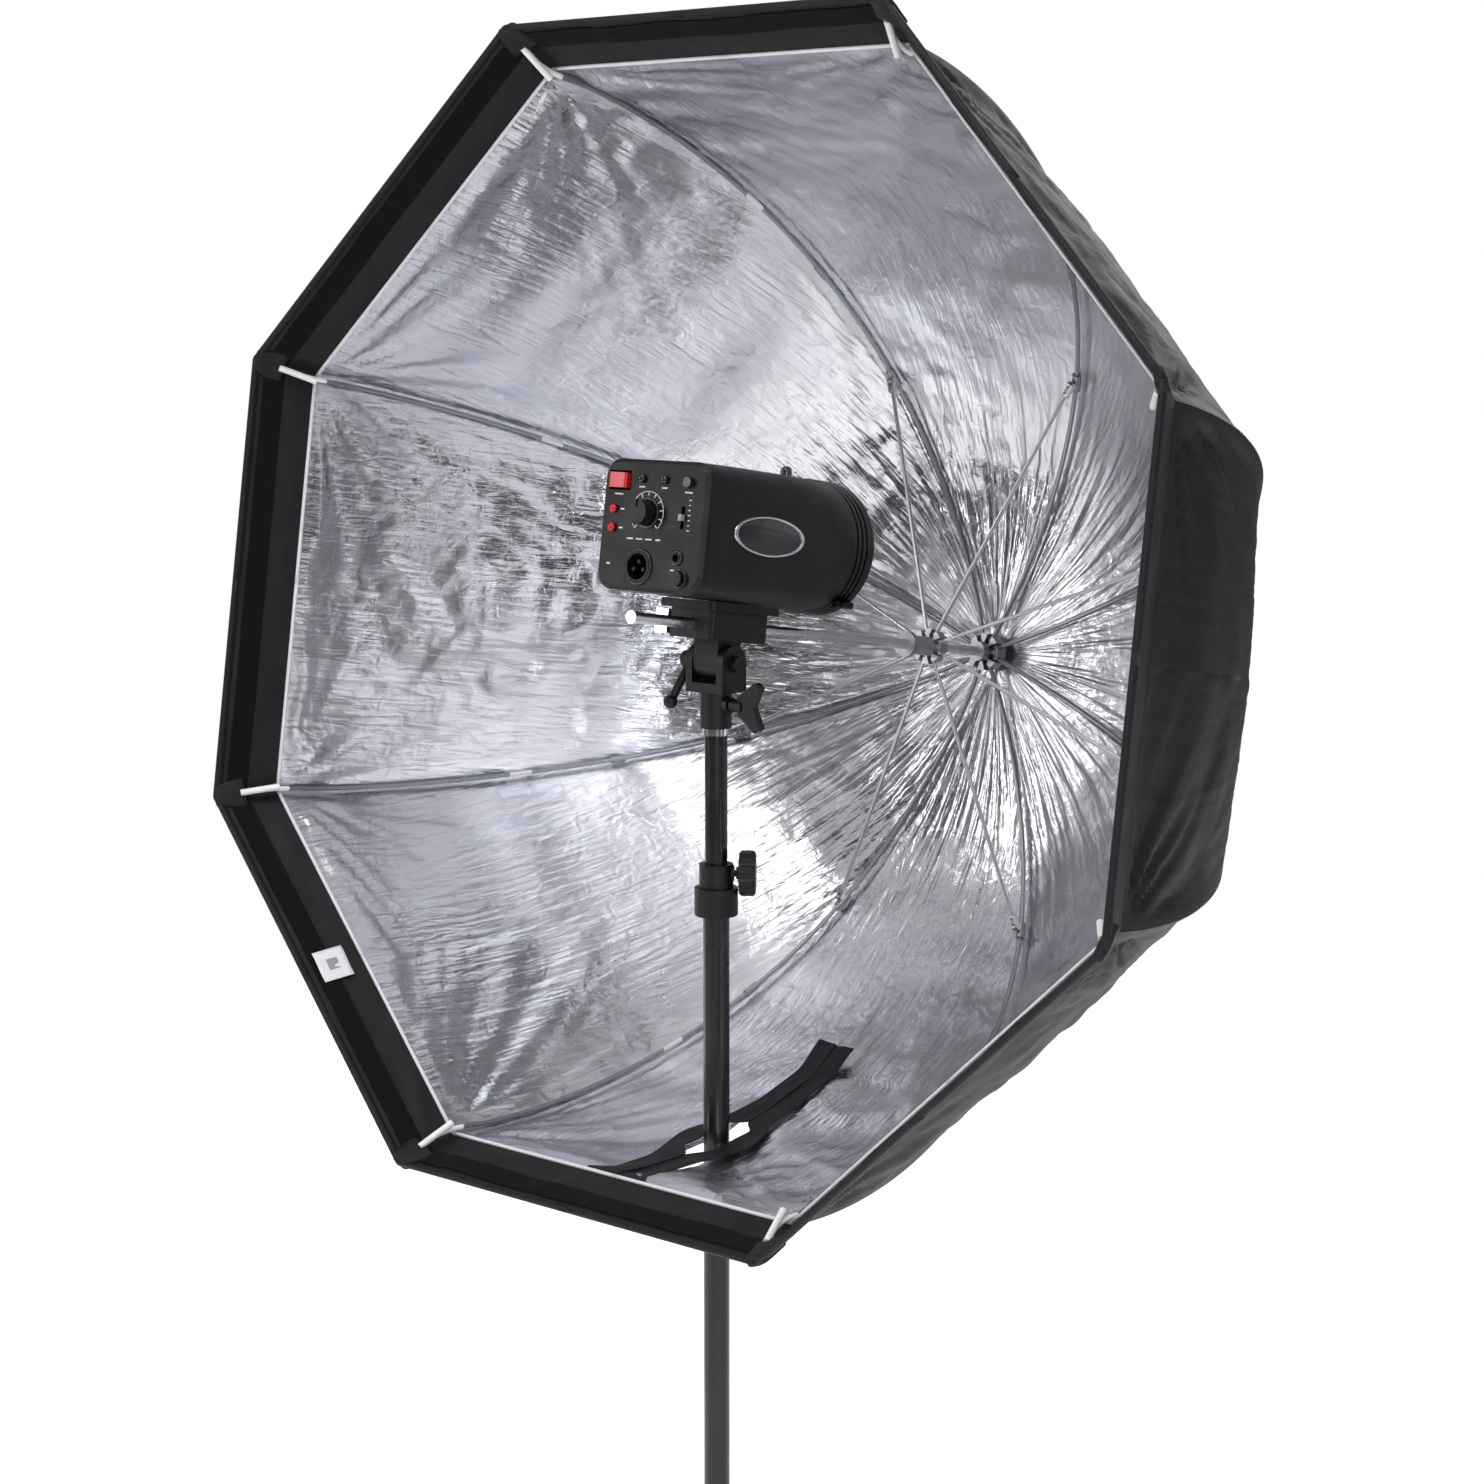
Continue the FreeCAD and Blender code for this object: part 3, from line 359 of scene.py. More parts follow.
# Black nylon taffeta: dull, with a faint sheen at grazing angles. Threads are 0.3 mm apart on the
# real cloth and are drawn 1.5 mm apart, so that the weave shows.
black_cloth, tree, shader = new_material("black_nylon_taffeta", "#101113", 0.6, Sheen_Weight=0.08,
                                         Specular_IOR_Level=0.3,
                                         Sheen_Roughness=0.4, Sheen_Tint=colour("#5A5D66"))
flat_cut = add(tree, "ShaderNodeUVMap", {"uv_map": "cloth"})
object_place = add(tree, "ShaderNodeTexCoord")
warp = add(tree, "ShaderNodeTexWave", {"Scale": 105.0, "bands_direction": "X"},
           Vector=(flat_cut, "UV"))
weft = add(tree, "ShaderNodeTexWave", {"Scale": 105.0, "bands_direction": "Y"},
           Vector=(flat_cut, "UV"))
weave = add(tree, "ShaderNodeMath", {"operation": "MAXIMUM"})
tree.links.new(warp.outputs["Fac"], weave.inputs[0])
tree.links.new(weft.outputs["Fac"], weave.inputs[1])
rumple = add(tree, "ShaderNodeTexNoise", {"Scale": 26.0, "Detail": 5.0},
             Vector=(object_place, "Object"))
threads = add(tree, "ShaderNodeBump", {"Strength": 0.12, "Distance": 0.0004},
              Height=(weave, "Value"))
rumples = add(tree, "ShaderNodeBump", {"Strength": 0.4, "Distance": 0.003},
              Height=(rumple, "Fac"), Normal=(threads, "Normal"))
tree.links.new(rumples.outputs["Normal"], shader.inputs["Normal"])
shade = add(tree, "ShaderNodeMix",
            {"data_type": "RGBA", 6: colour("#0B0B0D"), 7: colour("#16171A")})
tree.links.new(rumple.outputs["Fac"], shade.inputs[0])
tree.links.new(shade.outputs[2], shader.inputs["Base Color"])


def thicken(piece, thickness, back=0):
    """Gives cloth its thickness, away from the side that faces the shaft."""
    wall = piece.modifiers.new("thickness", "SOLIDIFY")
    wall.thickness = thickness
    wall.offset = -1
    wall.material_offset = back
    wall.material_offset_rim = back


halves = [(gore, side) for gore in range(8) for side in (-1, 1)]
for gore, side in halves:
    name = f"gore_{gore + 1}_{'left' if side < 0 else 'right'}"
    cloth_piece = piece_from(name, gore_half(gore, side), silver, black_cloth)
    thicken(cloth_piece, CLOTH, 1)
    follow_rib(cloth_piece)
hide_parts("canopy_panels")
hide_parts("slot_panel")

# ---- Piping along the lining's edge
# A white polyester cord, 3 mm thick, sewn into the seam between each gore and its lip.
PIPING_R = 0.0016


def trim(gore, side, radius, depth, across_r, along_r, steps=14):
    """A round or flattened cord, straight from mid-gore to the rib at that radius and depth."""
    middle = math.radians(middle_of(gore))
    seam = rib_beside(gore, side)[1]
    start = tilted(*at(radius * math.cos(HALF_GORE), depth, middle))
    end = tilted(*at(radius, depth, seam))
    bm = bmesh.new()
    ring = bmesh.ops.create_circle(bm, segments=10, radius=1.0)["verts"]
    run = end - start
    inward = (tilted(0, MOUTH + depth, SHAFT_HEIGHT) - start).normalized()
    frame_axes = Matrix((inward, run.normalized().cross(inward), run.normalized())).transposed()
    bmesh.ops.transform(bm, verts=ring, matrix=Matrix.Translation(start) @ frame_axes.to_4x4()
                        @ Matrix.Diagonal((across_r, along_r, 1, 1)))
    edges = list(bm.edges)
    bmesh.ops.contextual_create(bm, geom=edges)
    for _ in range(steps):
        grown = bmesh.ops.extrude_edge_only(bm, edges=edges)["geom"]
        bmesh.ops.translate(bm, verts=[g for g in grown if isinstance(g, bmesh.types.BMVert)],
                            vec=run / steps)
        edges = [g for g in grown if isinstance(g, bmesh.types.BMEdge)
                 and all(len(v.link_faces) < 3 for v in g.verts)]
    bmesh.ops.contextual_create(bm, geom=edges)
    bmesh.ops.recalc_face_normals(bm, faces=bm.faces)
    return bm


white_cord, tree, shader = new_material("white_polyester_cord", "#E4E4E6", 0.6)
place = add(tree, "ShaderNodeTexCoord")
fibre = add(tree, "ShaderNodeTexNoise", {"Scale": 420.0, "Detail": 2.0}, Vector=(place, "Object"))
soft = add(tree, "ShaderNodeBump", {"Strength": 0.4, "Distance": 0.0005}, Height=(fibre, "Fac"))
tree.links.new(soft.outputs["Normal"], shader.inputs["Normal"])
for gore, side in halves:
    name = f"piping_{gore + 1}_{'left' if side < 0 else 'right'}"
    cord = piece_from(name, trim(gore, side, EDGE_RADIUS - 0.0012, EDGE_DEPTH - 0.0006,
                                 PIPING_R, PIPING_R), white_cord)
    follow_rib(cord)

# ---- Lip round the mouth
# A band of the same black nylon, 57 mm wide, that flares from the lining's edge to the front. Its
# outer half carries the loop tape for the front cloth, and its free edge is rolled into a hem.
FRONT_RADIUS = 0.514
LIP_ROWS, LIP_STEPS = 14, 36
LIP_CLOTH = (0.19, 0.057)  # length and width of half a lip, to draw its weave
LIP_RISE, LIP_RUN = 0.0252, 0.0508  # from the lining's edge to the front, outwards and forwards
TAPE_FROM, TAPE_TO = 0.5, 0.84


def lip_point(share, turn, inset=0.0):
    """Place and direction of the lip at a share of the way from the lining's edge to its front."""
    radius = EDGE_RADIUS + (FRONT_RADIUS - EDGE_RADIUS) * share - inset
    run = Vector((LIP_RISE * math.sin(turn), -LIP_RUN, LIP_RISE * math.cos(turn))).normalized()
    return radius, EDGE_DEPTH * (1 - share), run


def lip_half(gore, side, low, high, lift, rows):
    """Cloth from the share low to the share high of the lip's width, lifted off it by lift."""
    bm = bmesh.new()
    bmesh.ops.create_grid(bm, x_segments=LIP_STEPS, y_segments=rows, size=0.5)
    cloth = bm.loops.layers.uv.new("cloth")
    middle = math.radians(middle_of(gore))
    seam = rib_beside(gore, side)[1]
    uvs = {}
    for vert in bm.verts:
        u, share = vert.co.x + 0.5, low + (high - low) * (vert.co.y + 0.5)
        radius = EDGE_RADIUS + (FRONT_RADIUS - EDGE_RADIUS) * share
        depth = EDGE_DEPTH * (1 - share)
        mid, edge = at(radius * math.cos(HALF_GORE), depth, middle), at(radius, depth, seam)
        level = mid.lerp(edge, u)
        uvs[vert] = (u * LIP_CLOTH[0], share * LIP_CLOTH[1])
        slack = smooth((1 - u) / 0.1) * smooth((share + 0.05) / 0.3)
        wave = slack * (0.0022 * noise.noise(level * 13) + 0.0012 * ridged(*(level * 30)))
        inward = Vector((-level.x, -0.25, SHAFT_HEIGHT - level.z)).normalized()
        vert.co = tilted(*(level + inward * (wave + lift)))
    bm.normal_update()
    face_towards(bm, tilted(0, MOUTH, SHAFT_HEIGHT))
    for face in bm.faces:
        for loop in face.loops:
            loop[cloth].uv = uvs[loop.vert]
    return bm


# Loop tape: brushed nylon with a short nap, duller than the lip.
loop_tape, tree, shader = new_material("nylon_loop_tape", "#08080A", 0.9, Sheen_Weight=0.15,
                                       Specular_IOR_Level=0.2, Sheen_Roughness=0.6,
                                       Sheen_Tint=colour("#44464D"))
place = add(tree, "ShaderNodeTexCoord")
nap = add(tree, "ShaderNodeTexNoise", {"Scale": 700.0, "Detail": 3.0}, Vector=(place, "Object"))
nap_bump = add(tree, "ShaderNodeBump", {"Strength": 0.7, "Distance": 0.001}, Height=(nap, "Fac"))
tree.links.new(nap_bump.outputs["Normal"], shader.inputs["Normal"])

for gore, side in halves:
    tail = f"{gore + 1}_{'left' if side < 0 else 'right'}"
    lip = piece_from("lip_" + tail, lip_half(gore, side, 0.0, 1.0, 0.0, LIP_ROWS), black_cloth)
    thicken(lip, 0.0011)
    follow_rib(lip)
    tape = piece_from("loop_tape_" + tail, lip_half(gore, side, TAPE_FROM, TAPE_TO, 0.0012, 5),
                      loop_tape)
    thicken(tape, 0.001)
    follow_rib(tape)
    hem = piece_from("hem_" + tail, trim(gore, side, FRONT_RADIUS - 0.001, 0.0008, 0.0028, 0.0042),
                     black_cloth)
    follow_rib(hem)
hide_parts("lip_band")

# ---- Placket of the pole slot
# Two flaps of black nylon with hook-and-loop edges that close the slot in the bottom gore. They
# meet on its centre line, and bow apart round the pole.
FLAP_ROWS = 90
FLAP_ANGLES = (0.3, 40.5)
EYE_REACH, EYE_EASE, EYE_HALF = 0.041, 0.018, 0.0148


def flap_half(side):
    """One flap: its inner edge on the slot's centre line, with an eye round the pole."""
    bm = bmesh.new()
    bmesh.ops.create_grid(bm, x_segments=10, y_segments=FLAP_ROWS, size=0.5)
    cloth = bm.loops.layers.uv.new("cloth")
    uvs = {}
    for vert in bm.verts:
        u, v = vert.co.x + 0.5, vert.co.y + 0.5
        angle = math.radians(FLAP_ANGLES[0] + (FLAP_ANGLES[1] - FLAP_ANGLES[0]) * v)
        radius, depth = dome(angle)
        y = MOUTH + depth
        eye_open = smooth((EYE_REACH - abs(y - POLE_CROSSING)) / EYE_EASE)
        bow = math.exp(-((y - POLE_CROSSING) / 0.036) ** 2)
        inner = EYE_HALF * eye_open - 0.0006
        outer = 0.0195 + 0.017 * bow + 0.012 * (1 - smooth(v / 0.1))
        ruffle = noise.noise(Vector((y * 26, side * 3.0, 1.7)))
        x = side * (inner + (outer - inner) * u + 0.0030 * ruffle * u)
        lift = (0.0024 + 0.0012 * (side < 0) + 0.0016 * noise.noise(Vector((y * 30, u * 1.5, side)))
                + 0.009 * smooth((v - 0.9) / 0.1) + 0.0012 * eye_open * (1 - u))
        uvs[vert] = (u * 0.02, depth)
        vert.co = tilted(x, y, SHAFT_HEIGHT - radius * math.cos(HALF_GORE) + lift)
    bm.normal_update()
    face_towards(bm, tilted(0, 0, SHAFT_HEIGHT))
    for face in bm.faces:
        for loop in face.loops:
            loop[cloth].uv = uvs[loop.vert]
    return bm


for side in (-1, 1):
    flap = piece_from(f"placket_{'left' if side < 0 else 'right'}", flap_half(side), black_cloth)
    thicken(flap, 0.0012)
    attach(flap, "umbrella")
    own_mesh(flap)
    if side < 0:
        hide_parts("slot_placket")

# ---- Care label
# A woven white tape label, folded over the lip of the lower left gore, with a blank grey square.
LABEL_GORE = 1
LABEL_SHARE = 0.52


def label_bm(width, height, lift, thickness):
    """A small cloth patch on the lip, centred along it and across it."""
    turn = math.radians(middle_of(LABEL_GORE))
    radius, depth, lip_run = lip_point(LABEL_SHARE, turn)
    centre = at(radius * math.cos(HALF_GORE), depth, turn)
    along = Vector((math.cos(turn), 0, -math.sin(turn)))
    inward = along.cross(lip_run).normalized()
    if inward.dot(Vector((0, MOUTH, SHAFT_HEIGHT)) - centre) < 0:
        inward = -inward
    bm = bmesh.new()
    bmesh.ops.create_grid(bm, x_segments=8, y_segments=8, size=0.5)
    for vert in bm.verts:
        curl = 0.0009 * math.sin(vert.co.x * 5) + 0.001 * vert.co.y
        vert.co = tilted(*(centre + along * vert.co.x * width + lip_run * vert.co.y * height
                           + inward * (lift + curl)))
    bmesh.ops.solidify(bm, geom=list(bm.faces), thickness=thickness)
    bmesh.ops.recalc_face_normals(bm, faces=bm.faces)
    return bm


label_tape, tree, shader = new_material("woven_label_tape", "#E9E9EA", 0.75)
place = add(tree, "ShaderNodeTexCoord")
# ribs of the woven tape, 1 mm apart
woven = add(tree, "ShaderNodeTexWave", {"Scale": 150.0}, Vector=(place, "Object"))
woven_bump = add(tree, "ShaderNodeBump", {"Strength": 0.2, "Distance": 0.0004},
                 Height=(woven, "Fac"))
tree.links.new(woven_bump.outputs["Normal"], shader.inputs["Normal"])
grey_print, tree, shader = new_material("grey_label_print", "#9C9EA4", 0.7)
place = add(tree, "ShaderNodeTexCoord")
speck = add(tree, "ShaderNodeTexNoise", {"Scale": 300.0}, Vector=(place, "Object"))
speck_bump = add(tree, "ShaderNodeBump", {"Strength": 0.2, "Distance": 0.0003},
                 Height=(speck, "Fac"))
tree.links.new(speck_bump.outputs["Normal"], shader.inputs["Normal"])
label = piece_from("care_label", label_bm(0.030, 0.028, 0.0042, 0.0004), label_tape)
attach(label, "umbrella")
label_square = piece_from("care_label_square", label_bm(0.010, 0.010, 0.0047, 0.0003), grey_print)
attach(label_square, "umbrella")

# ---- Corner pockets
# Folded nylon pouches sewn into the eight corners of the lip. Each holds the white cap of a rib.
POCKET_SHARE = 0.80
POCKET_INSET = 0.003
POCKET_SIZE = (0.030, 0.0098, 0.027)


def pocket_bm(turn):
    """A rounded pouch, narrower towards the lining, at that turn from the top."""
    bm = bmesh.new()
    bmesh.ops.create_cube(bm, size=1.0)
    bmesh.ops.subdivide_edges(bm, edges=bm.edges, cuts=3, use_grid_fill=True)
    radius, depth, run = lip_point(POCKET_SHARE, turn, POCKET_INSET)
    centre = at(radius, depth, turn)
    across = Vector((math.cos(turn), 0, -math.sin(turn)))
    out = across.cross(run)
    for vert in bm.verts:
        x, y, z = vert.co
        pinch = 1 - 0.35 * (z + 0.5)
        soft_edge = 1 - 0.9 * x * x
        crumple = 0.0012 * noise.noise(Vector((x * 3, y * 3 + turn, z * 3)))
        vert.co = tilted(*(centre + across * (x * POCKET_SIZE[0] * pinch)
                           + run * (z * POCKET_SIZE[2])
                           + out * (y * POCKET_SIZE[1] * soft_edge + crumple)))
    bmesh.ops.recalc_face_normals(bm, faces=bm.faces)
    return bm


for number in range(8):
    pocket = piece_from(f"corner_pocket_{number + 1}", pocket_bm(math.radians(22.5 + 45 * number)),
                        black_cloth)
    rounding = pocket.modifiers.new("rounding", "SUBSURF")
    rounding.levels = rounding.render_levels = 2
    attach(pocket, f"rib_{number + 1}")


def finish_nodes(material, *names):
    """Gives CAD nodes their finish, in every slot that they have."""
    for name in names:
        slots = nodes[name].material_slots
        if not len(slots):
            nodes[name].data.materials.append(material)
        for held in slots:
            held.material = material


# ---- Ribs, stretchers and shaft
# Spring-steel wire, zinc-plated, with dark joints. Each rib ends in a white nylon cap and carries
# a white nylon ferrule where the wire is spliced.
FERRULE_FROM, FERRULE_TO = 0.2790, 0.2980
CAP_TO = 0.0580


def level_place(tree):
    """Object coordinates turned so that Y runs along the shaft."""
    place = add(tree, "ShaderNodeTexCoord")
    turned = add(tree, "ShaderNodeMapping", {"vector_type": "POINT",
                                             "Rotation": (SLOPE, 0, 0)}, Vector=(place, "Object"))
    return place, add(tree, "ShaderNodeSeparateXYZ", Vector=(turned, "Vector"))


def between(tree, source, low, high):
    """1 where the value is between low and high, else 0."""
    over = add(tree, "ShaderNodeMath", {"operation": "GREATER_THAN", 1: low})
    under = add(tree, "ShaderNodeMath", {"operation": "LESS_THAN", 1: high})
    product = add(tree, "ShaderNodeMath", {"operation": "MULTIPLY"})
    tree.links.new(source, over.inputs[0])
    tree.links.new(source, under.inputs[0])
    tree.links.new(over.outputs[0], product.inputs[0])
    tree.links.new(under.outputs[0], product.inputs[1])
    return product


# Level Y of a point p is p.y cos - (p.z - pivot) sin, so the turn alone leaves a fixed offset.
TURN_OFFSET = PIVOT_HEIGHT * math.sin(SLOPE)
rib_steel, tree, shader = new_material("zinc_plated_spring_steel", "#A2A4A9", 0.34, Metallic=1.0)
place, axes = level_place(tree)
drawn = add(tree, "ShaderNodeTexNoise", {"Scale": 160.0, "Detail": 3.0}, Vector=(place, "Object"))
level_y = add(tree, "ShaderNodeMath", {"operation": "ADD", 1: TURN_OFFSET - MOUTH})
tree.links.new(axes.outputs["Y"], level_y.inputs[0])
ferrule = between(tree, level_y.outputs[0], FERRULE_FROM, FERRULE_TO)
cap = between(tree, level_y.outputs[0], -0.05, CAP_TO)
white = add(tree, "ShaderNodeMath", {"operation": "MAXIMUM"})
tree.links.new(ferrule.outputs[0], white.inputs[0])
tree.links.new(cap.outputs[0], white.inputs[1])
tint = add(tree, "ShaderNodeMix", {"data_type": "RGBA", 6: colour("#9A9CA1"), 7: colour("#F2F2F0")})
tree.links.new(white.outputs[0], tint.inputs[0])
tree.links.new(tint.outputs[2], shader.inputs["Base Color"])
metal = add(tree, "ShaderNodeMath", {"operation": "SUBTRACT", 0: 1.0})
tree.links.new(white.outputs[0], metal.inputs[1])
tree.links.new(metal.outputs[0], shader.inputs["Metallic"])
draw_bump = add(tree, "ShaderNodeBump", {"Strength": 0.15, "Distance": 0.0004},
                Height=(drawn, "Fac"))
tree.links.new(draw_bump.outputs["Normal"], shader.inputs["Normal"])


def grained(name, tint, roughness, grain_mm, depth, wear="", **sockets):
    """A material with a fine moulded, cast or sprayed grain, and a slightly uneven gloss."""
    made, tree, shader = new_material(name, tint, roughness, **sockets)
    place = add(tree, "ShaderNodeTexCoord")
    grain = add(tree, "ShaderNodeTexNoise", {"Scale": 1000.0 / grain_mm, "Detail": 3.0},
                Vector=(place, "Object"))
    clouds = add(tree, "ShaderNodeTexNoise", {"Scale": 22.0, "Detail": 3.0},
                 Vector=(place, "Object"))
    gloss = add(tree, "ShaderNodeMapRange", {"From Min": 0.3, "From Max": 0.7,
                                             "To Min": roughness - 0.06,
                                             "To Max": roughness + 0.08}, Value=(clouds, "Fac"))
    tree.links.new(gloss.outputs["Result"], shader.inputs["Roughness"])
    bump = add(tree, "ShaderNodeBump", {"Strength": 0.5, "Distance": depth}, Height=(grain, "Fac"))
    tree.links.new(bump.outputs["Normal"], shader.inputs["Normal"])
    if wear:
        rub = add(tree, "ShaderNodeMapRange", {"From Min": 0.56, "From Max": 0.75},
                  Value=(clouds, "Fac"))
        shades = add(tree, "ShaderNodeMix", {"data_type": "RGBA", 6: colour(tint), 7: colour(wear)})
        tree.links.new(rub.outputs["Result"], shades.inputs[0])
        tree.links.new(shades.outputs[2], shader.inputs["Base Color"])
    return made


finish_nodes(rib_steel, *[f"rib_{n}" for n in range(1, 9)])
bright_steel = grained("zinc_plated_steel_wire", "#D2D4D8", 0.32, 3.0, 0.0002, Metallic=1.0)
finish_nodes(bright_steel, *[f"stretcher_{n}" for n in range(1, 9)])
shaft_chrome = grained("chromed_steel_tube", "#E2E3E6", 0.26, 6.0, 0.00008, Metallic=1.0)
finish_nodes(shaft_chrome, "umbrella_shaft")
grey_zinc = grained("die_cast_zinc", "#A9ABAF", 0.42, 1.4, 0.0003, wear="#7C7E82", Metallic=0.9)
finish_nodes(grey_zinc, "crown_hub", "runner", "crown_cap")

# ---- Stand
# Satin black powder-coated aluminium tubes, with collars, hub and knobs moulded in black nylon,
# and grey rubber shoes pressed on the legs.
tube_coat = grained("black_powder_coated_aluminium", "#08090B", 0.26, 1.6, 0.0001,
                    wear="#0D0E11", Specular_IOR_Level=0.45)
finish_nodes(tube_coat, "column_lower", "column_middle", "column_top",
             "brace_1", "brace_2", "brace_3")
moulded_nylon = grained("moulded_black_nylon", "#0B0B0D", 0.46, 1.1, 0.0003, wear="#111214",
                        Specular_IOR_Level=0.35)
finish_nodes(moulded_nylon, "collar_lower", "collar_middle", "base_hub", "leg_slider", "knob_lower",
             "knob_middle", "knob_slider", "bracket_base", "tilt_head", "wing_knob", "tilt_lever")
stud_metal = grained("bright_chromed_brass", "#C9CACD", 0.16, 8.0, 0.00005, Metallic=1.0)
finish_nodes(stud_metal, "top_stud", "shaft_screw")

SHOE_TOP = 0.034
leg_coat, tree, shader = new_material("powder_coated_leg_tube", "#0C0D10", 0.36)
place = add(tree, "ShaderNodeTexCoord")
axes = add(tree, "ShaderNodeSeparateXYZ", Vector=(place, "Object"))
shoe = add(tree, "ShaderNodeMath", {"operation": "LESS_THAN", 1: SHOE_TOP})
tree.links.new(axes.outputs["Z"], shoe.inputs[0])
tint = add(tree, "ShaderNodeMix", {"data_type": "RGBA", 6: colour("#0C0D10"), 7: colour("#202122")})
tree.links.new(shoe.outputs[0], tint.inputs[0])
tree.links.new(tint.outputs[2], shader.inputs["Base Color"])
gloss = add(tree, "ShaderNodeMapRange", {"To Min": 0.36, "To Max": 0.85}, Value=(shoe, "Value"))
tree.links.new(gloss.outputs["Result"], shader.inputs["Roughness"])
peel = add(tree, "ShaderNodeTexNoise", {"Scale": 600.0}, Vector=(place, "Object"))
peel_bump = add(tree, "ShaderNodeBump", {"Strength": 0.4, "Distance": 0.0002}, Height=(peel, "Fac"))
tree.links.new(peel_bump.outputs["Normal"], shader.inputs["Normal"])
finish_nodes(leg_coat, "leg_1", "leg_2", "leg_3")

# ---- Flash head
# A fan-cooled studio flash in a moulded ABS shell with a fine spark finish, a ribbed round front
# ring that takes accessories, and a flat control panel at the rear.
HEAD_MIDDLE = 1.5235
HEAD_REAR = -0.094
abs_shell = grained("spark_finished_black_abs", "#0C0C0D", 0.48, 0.9, 0.0004, wear="#101012",
                    Specular_IOR_Level=0.35)
finish_nodes(abs_shell, "head_shell")
abs_panel = grained("satin_black_abs", "#0A0A0B", 0.42, 0.8, 0.0002, Specular_IOR_Level=0.3)
finish_nodes(abs_panel, "rear_panel", "panel_fittings", "ring_latch", "power_dial")
ring_coat = grained("black_anodised_aluminium", "#09090A", 0.34, 0.9, 0.0002,
                    Specular_IOR_Level=0.4)
finish_nodes(ring_coat, "front_ring")
spun = grained("spun_bright_aluminium", "#D6D7DA", 0.24, 2.0, 0.0002, Metallic=1.0)
finish_nodes(spun, "reflector")
quartz = grained("frosted_quartz_glass", "#F2F1EC", 0.3, 1.0, 0.0001, Transmission_Weight=0.5)
finish_nodes(quartz, "flash_tube", "modelling_lamp")
board = grained("green_epoxy_board", "#1E4A2C", 0.45, 2.0, 0.0002)
finish_nodes(board, "circuit_board")
# Red plastic of the power switch and the lamp lenses. Its faint emission is a painted glow, not a
# lamp.
red_abs = grained("red_abs_with_painted_glow", "#B50F17", 0.26, 2.0, 0.0001,
                  Emission_Color=colour("#8A060C"), Emission_Strength=0.08)
finish_nodes(red_abs, "power_switch")
grey_abs = grained("grey_abs", "#8C8E92", 0.45, 1.5, 0.0002)
finish_nodes(grey_abs, "mode_switch")
black_key = grained("glossy_black_abs", "#1A1A1C", 0.25, 2.0, 0.0001)
finish_nodes(black_key, "test_button")
smoke = grained("smoked_polycarbonate", "#1A1012", 0.14, 6.0, 0.00005, Coat_Weight=0.4)
finish_nodes(smoke, "sensor_dome")


def on_panel(x, z, out=0.0):
    """A place on the control panel, in millimetres right of and above its centre."""
    return Vector((x / 1000, HEAD_REAR - out / 1000, HEAD_MIDDLE + z / 1000))


# White marks printed on the panel: an arc of ticks round the dial, a scale beside the slider and
# short bars by the sockets. They stand 0.15 mm proud.
MARK = 0.15
DIAL = (-6, 10)
INLET = (-10, -33)
SOCKET = (30, -24)
FUSE = (34, -40)


def add_mark(bm, x, z, width, height, turn=0.0):
    """A printed bar, in millimetres, turned about the panel's normal."""
    made = bmesh.ops.create_cube(bm, size=1.0)["verts"]
    shape = (Matrix.Translation(on_panel(x, z, MARK / 2)) @ Matrix.Rotation(turn, 4, "Y")
             @ Matrix.Diagonal((width / 1000, MARK / 1000, height / 1000, 1)))
    bmesh.ops.transform(bm, verts=made, matrix=shape)


bm = bmesh.new()
for step in range(11):
    turn = math.radians(-135 + 27 * step)
    add_mark(bm, DIAL[0] + 15 * math.sin(turn), DIAL[1] + 15 * math.cos(turn), 0.9, 3.2, turn)
for step in range(54):
    turn = math.radians(-135 + 5 * step)
    add_mark(bm, DIAL[0] + 17.2 * math.sin(turn), DIAL[1] + 17.2 * math.cos(turn), 1.6, 0.6, turn)
for step in range(7):
    add_mark(bm, 38.5, -2 + 4 * step, 3.0 if step % 3 == 0 else 2.0, 0.7)
for x, z, width in ((-22, -11, 7), (-12, -11, 7), (-2, -11, 7), (8, -11, 5), (-43, -32, 4),
                    (28, -34, 8), (36, 28, 8), (-38, 24, 9), (-33, 12, 4), (-33, -3, 4),
                    (-14, 30.5, 6), (10, 30.5, 6)):
    add_mark(bm, x, z, width, 1.3)
for vert in bm.verts:
    vert.co = tilted(*vert.co)
bmesh.ops.recalc_face_normals(bm, faces=bm.faces)
white_ink = grained("white_screen_ink", "#DADADA", 0.55, 1.0, 0.0001)
panel_marks = piece_from("panel_marks", bm, white_ink)
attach(panel_marks, "head")


def lathe(bm, profile, place, segments=28):
    """Turns a profile of (radius, height) about the panel's normal, at a level place."""
    verts = [bm.verts.new((radius / 1000, -height / 1000, 0)) for radius, height in profile]
    edges = [bm.edges.new(pair) for pair in zip(verts, verts[1:])]
    bmesh.ops.spin(bm, geom=verts + edges, cent=(0, 0, 0), axis=(0, 1, 0),
                   angle=2 * math.pi, steps=segments, use_merge=True)
    bmesh.ops.remove_doubles(bm, verts=[v for v in bm.verts if not v.tag], dist=1e-6)
    for vert in (v for v in bm.verts if not v.tag):
        vert.co = tilted(*(vert.co + place))
        vert.tag = True


# Indicator lenses: small domes of red or smoked acrylic over each lamp.
LENS = [(3.55, 1.2), (3.5, 2.2), (2.9, 3.2), (1.8, 3.9), (0.0, 4.2)]
for name, places, finish, slot in (
        ("red_lenses", ((-42, 12), (-42, -3)), red_abs, "red_plastic"),
        ("smoked_lenses", ((-14, 37), (10, 37)), smoke, "smoked_plastic")):
    bm = bmesh.new()
    for x, z in places:
        lathe(bm, LENS, on_panel(x, z))
    bmesh.ops.recalc_face_normals(bm, faces=bm.faces)
    lenses = piece_from(name, bm, finish)
    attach(lenses, "head")

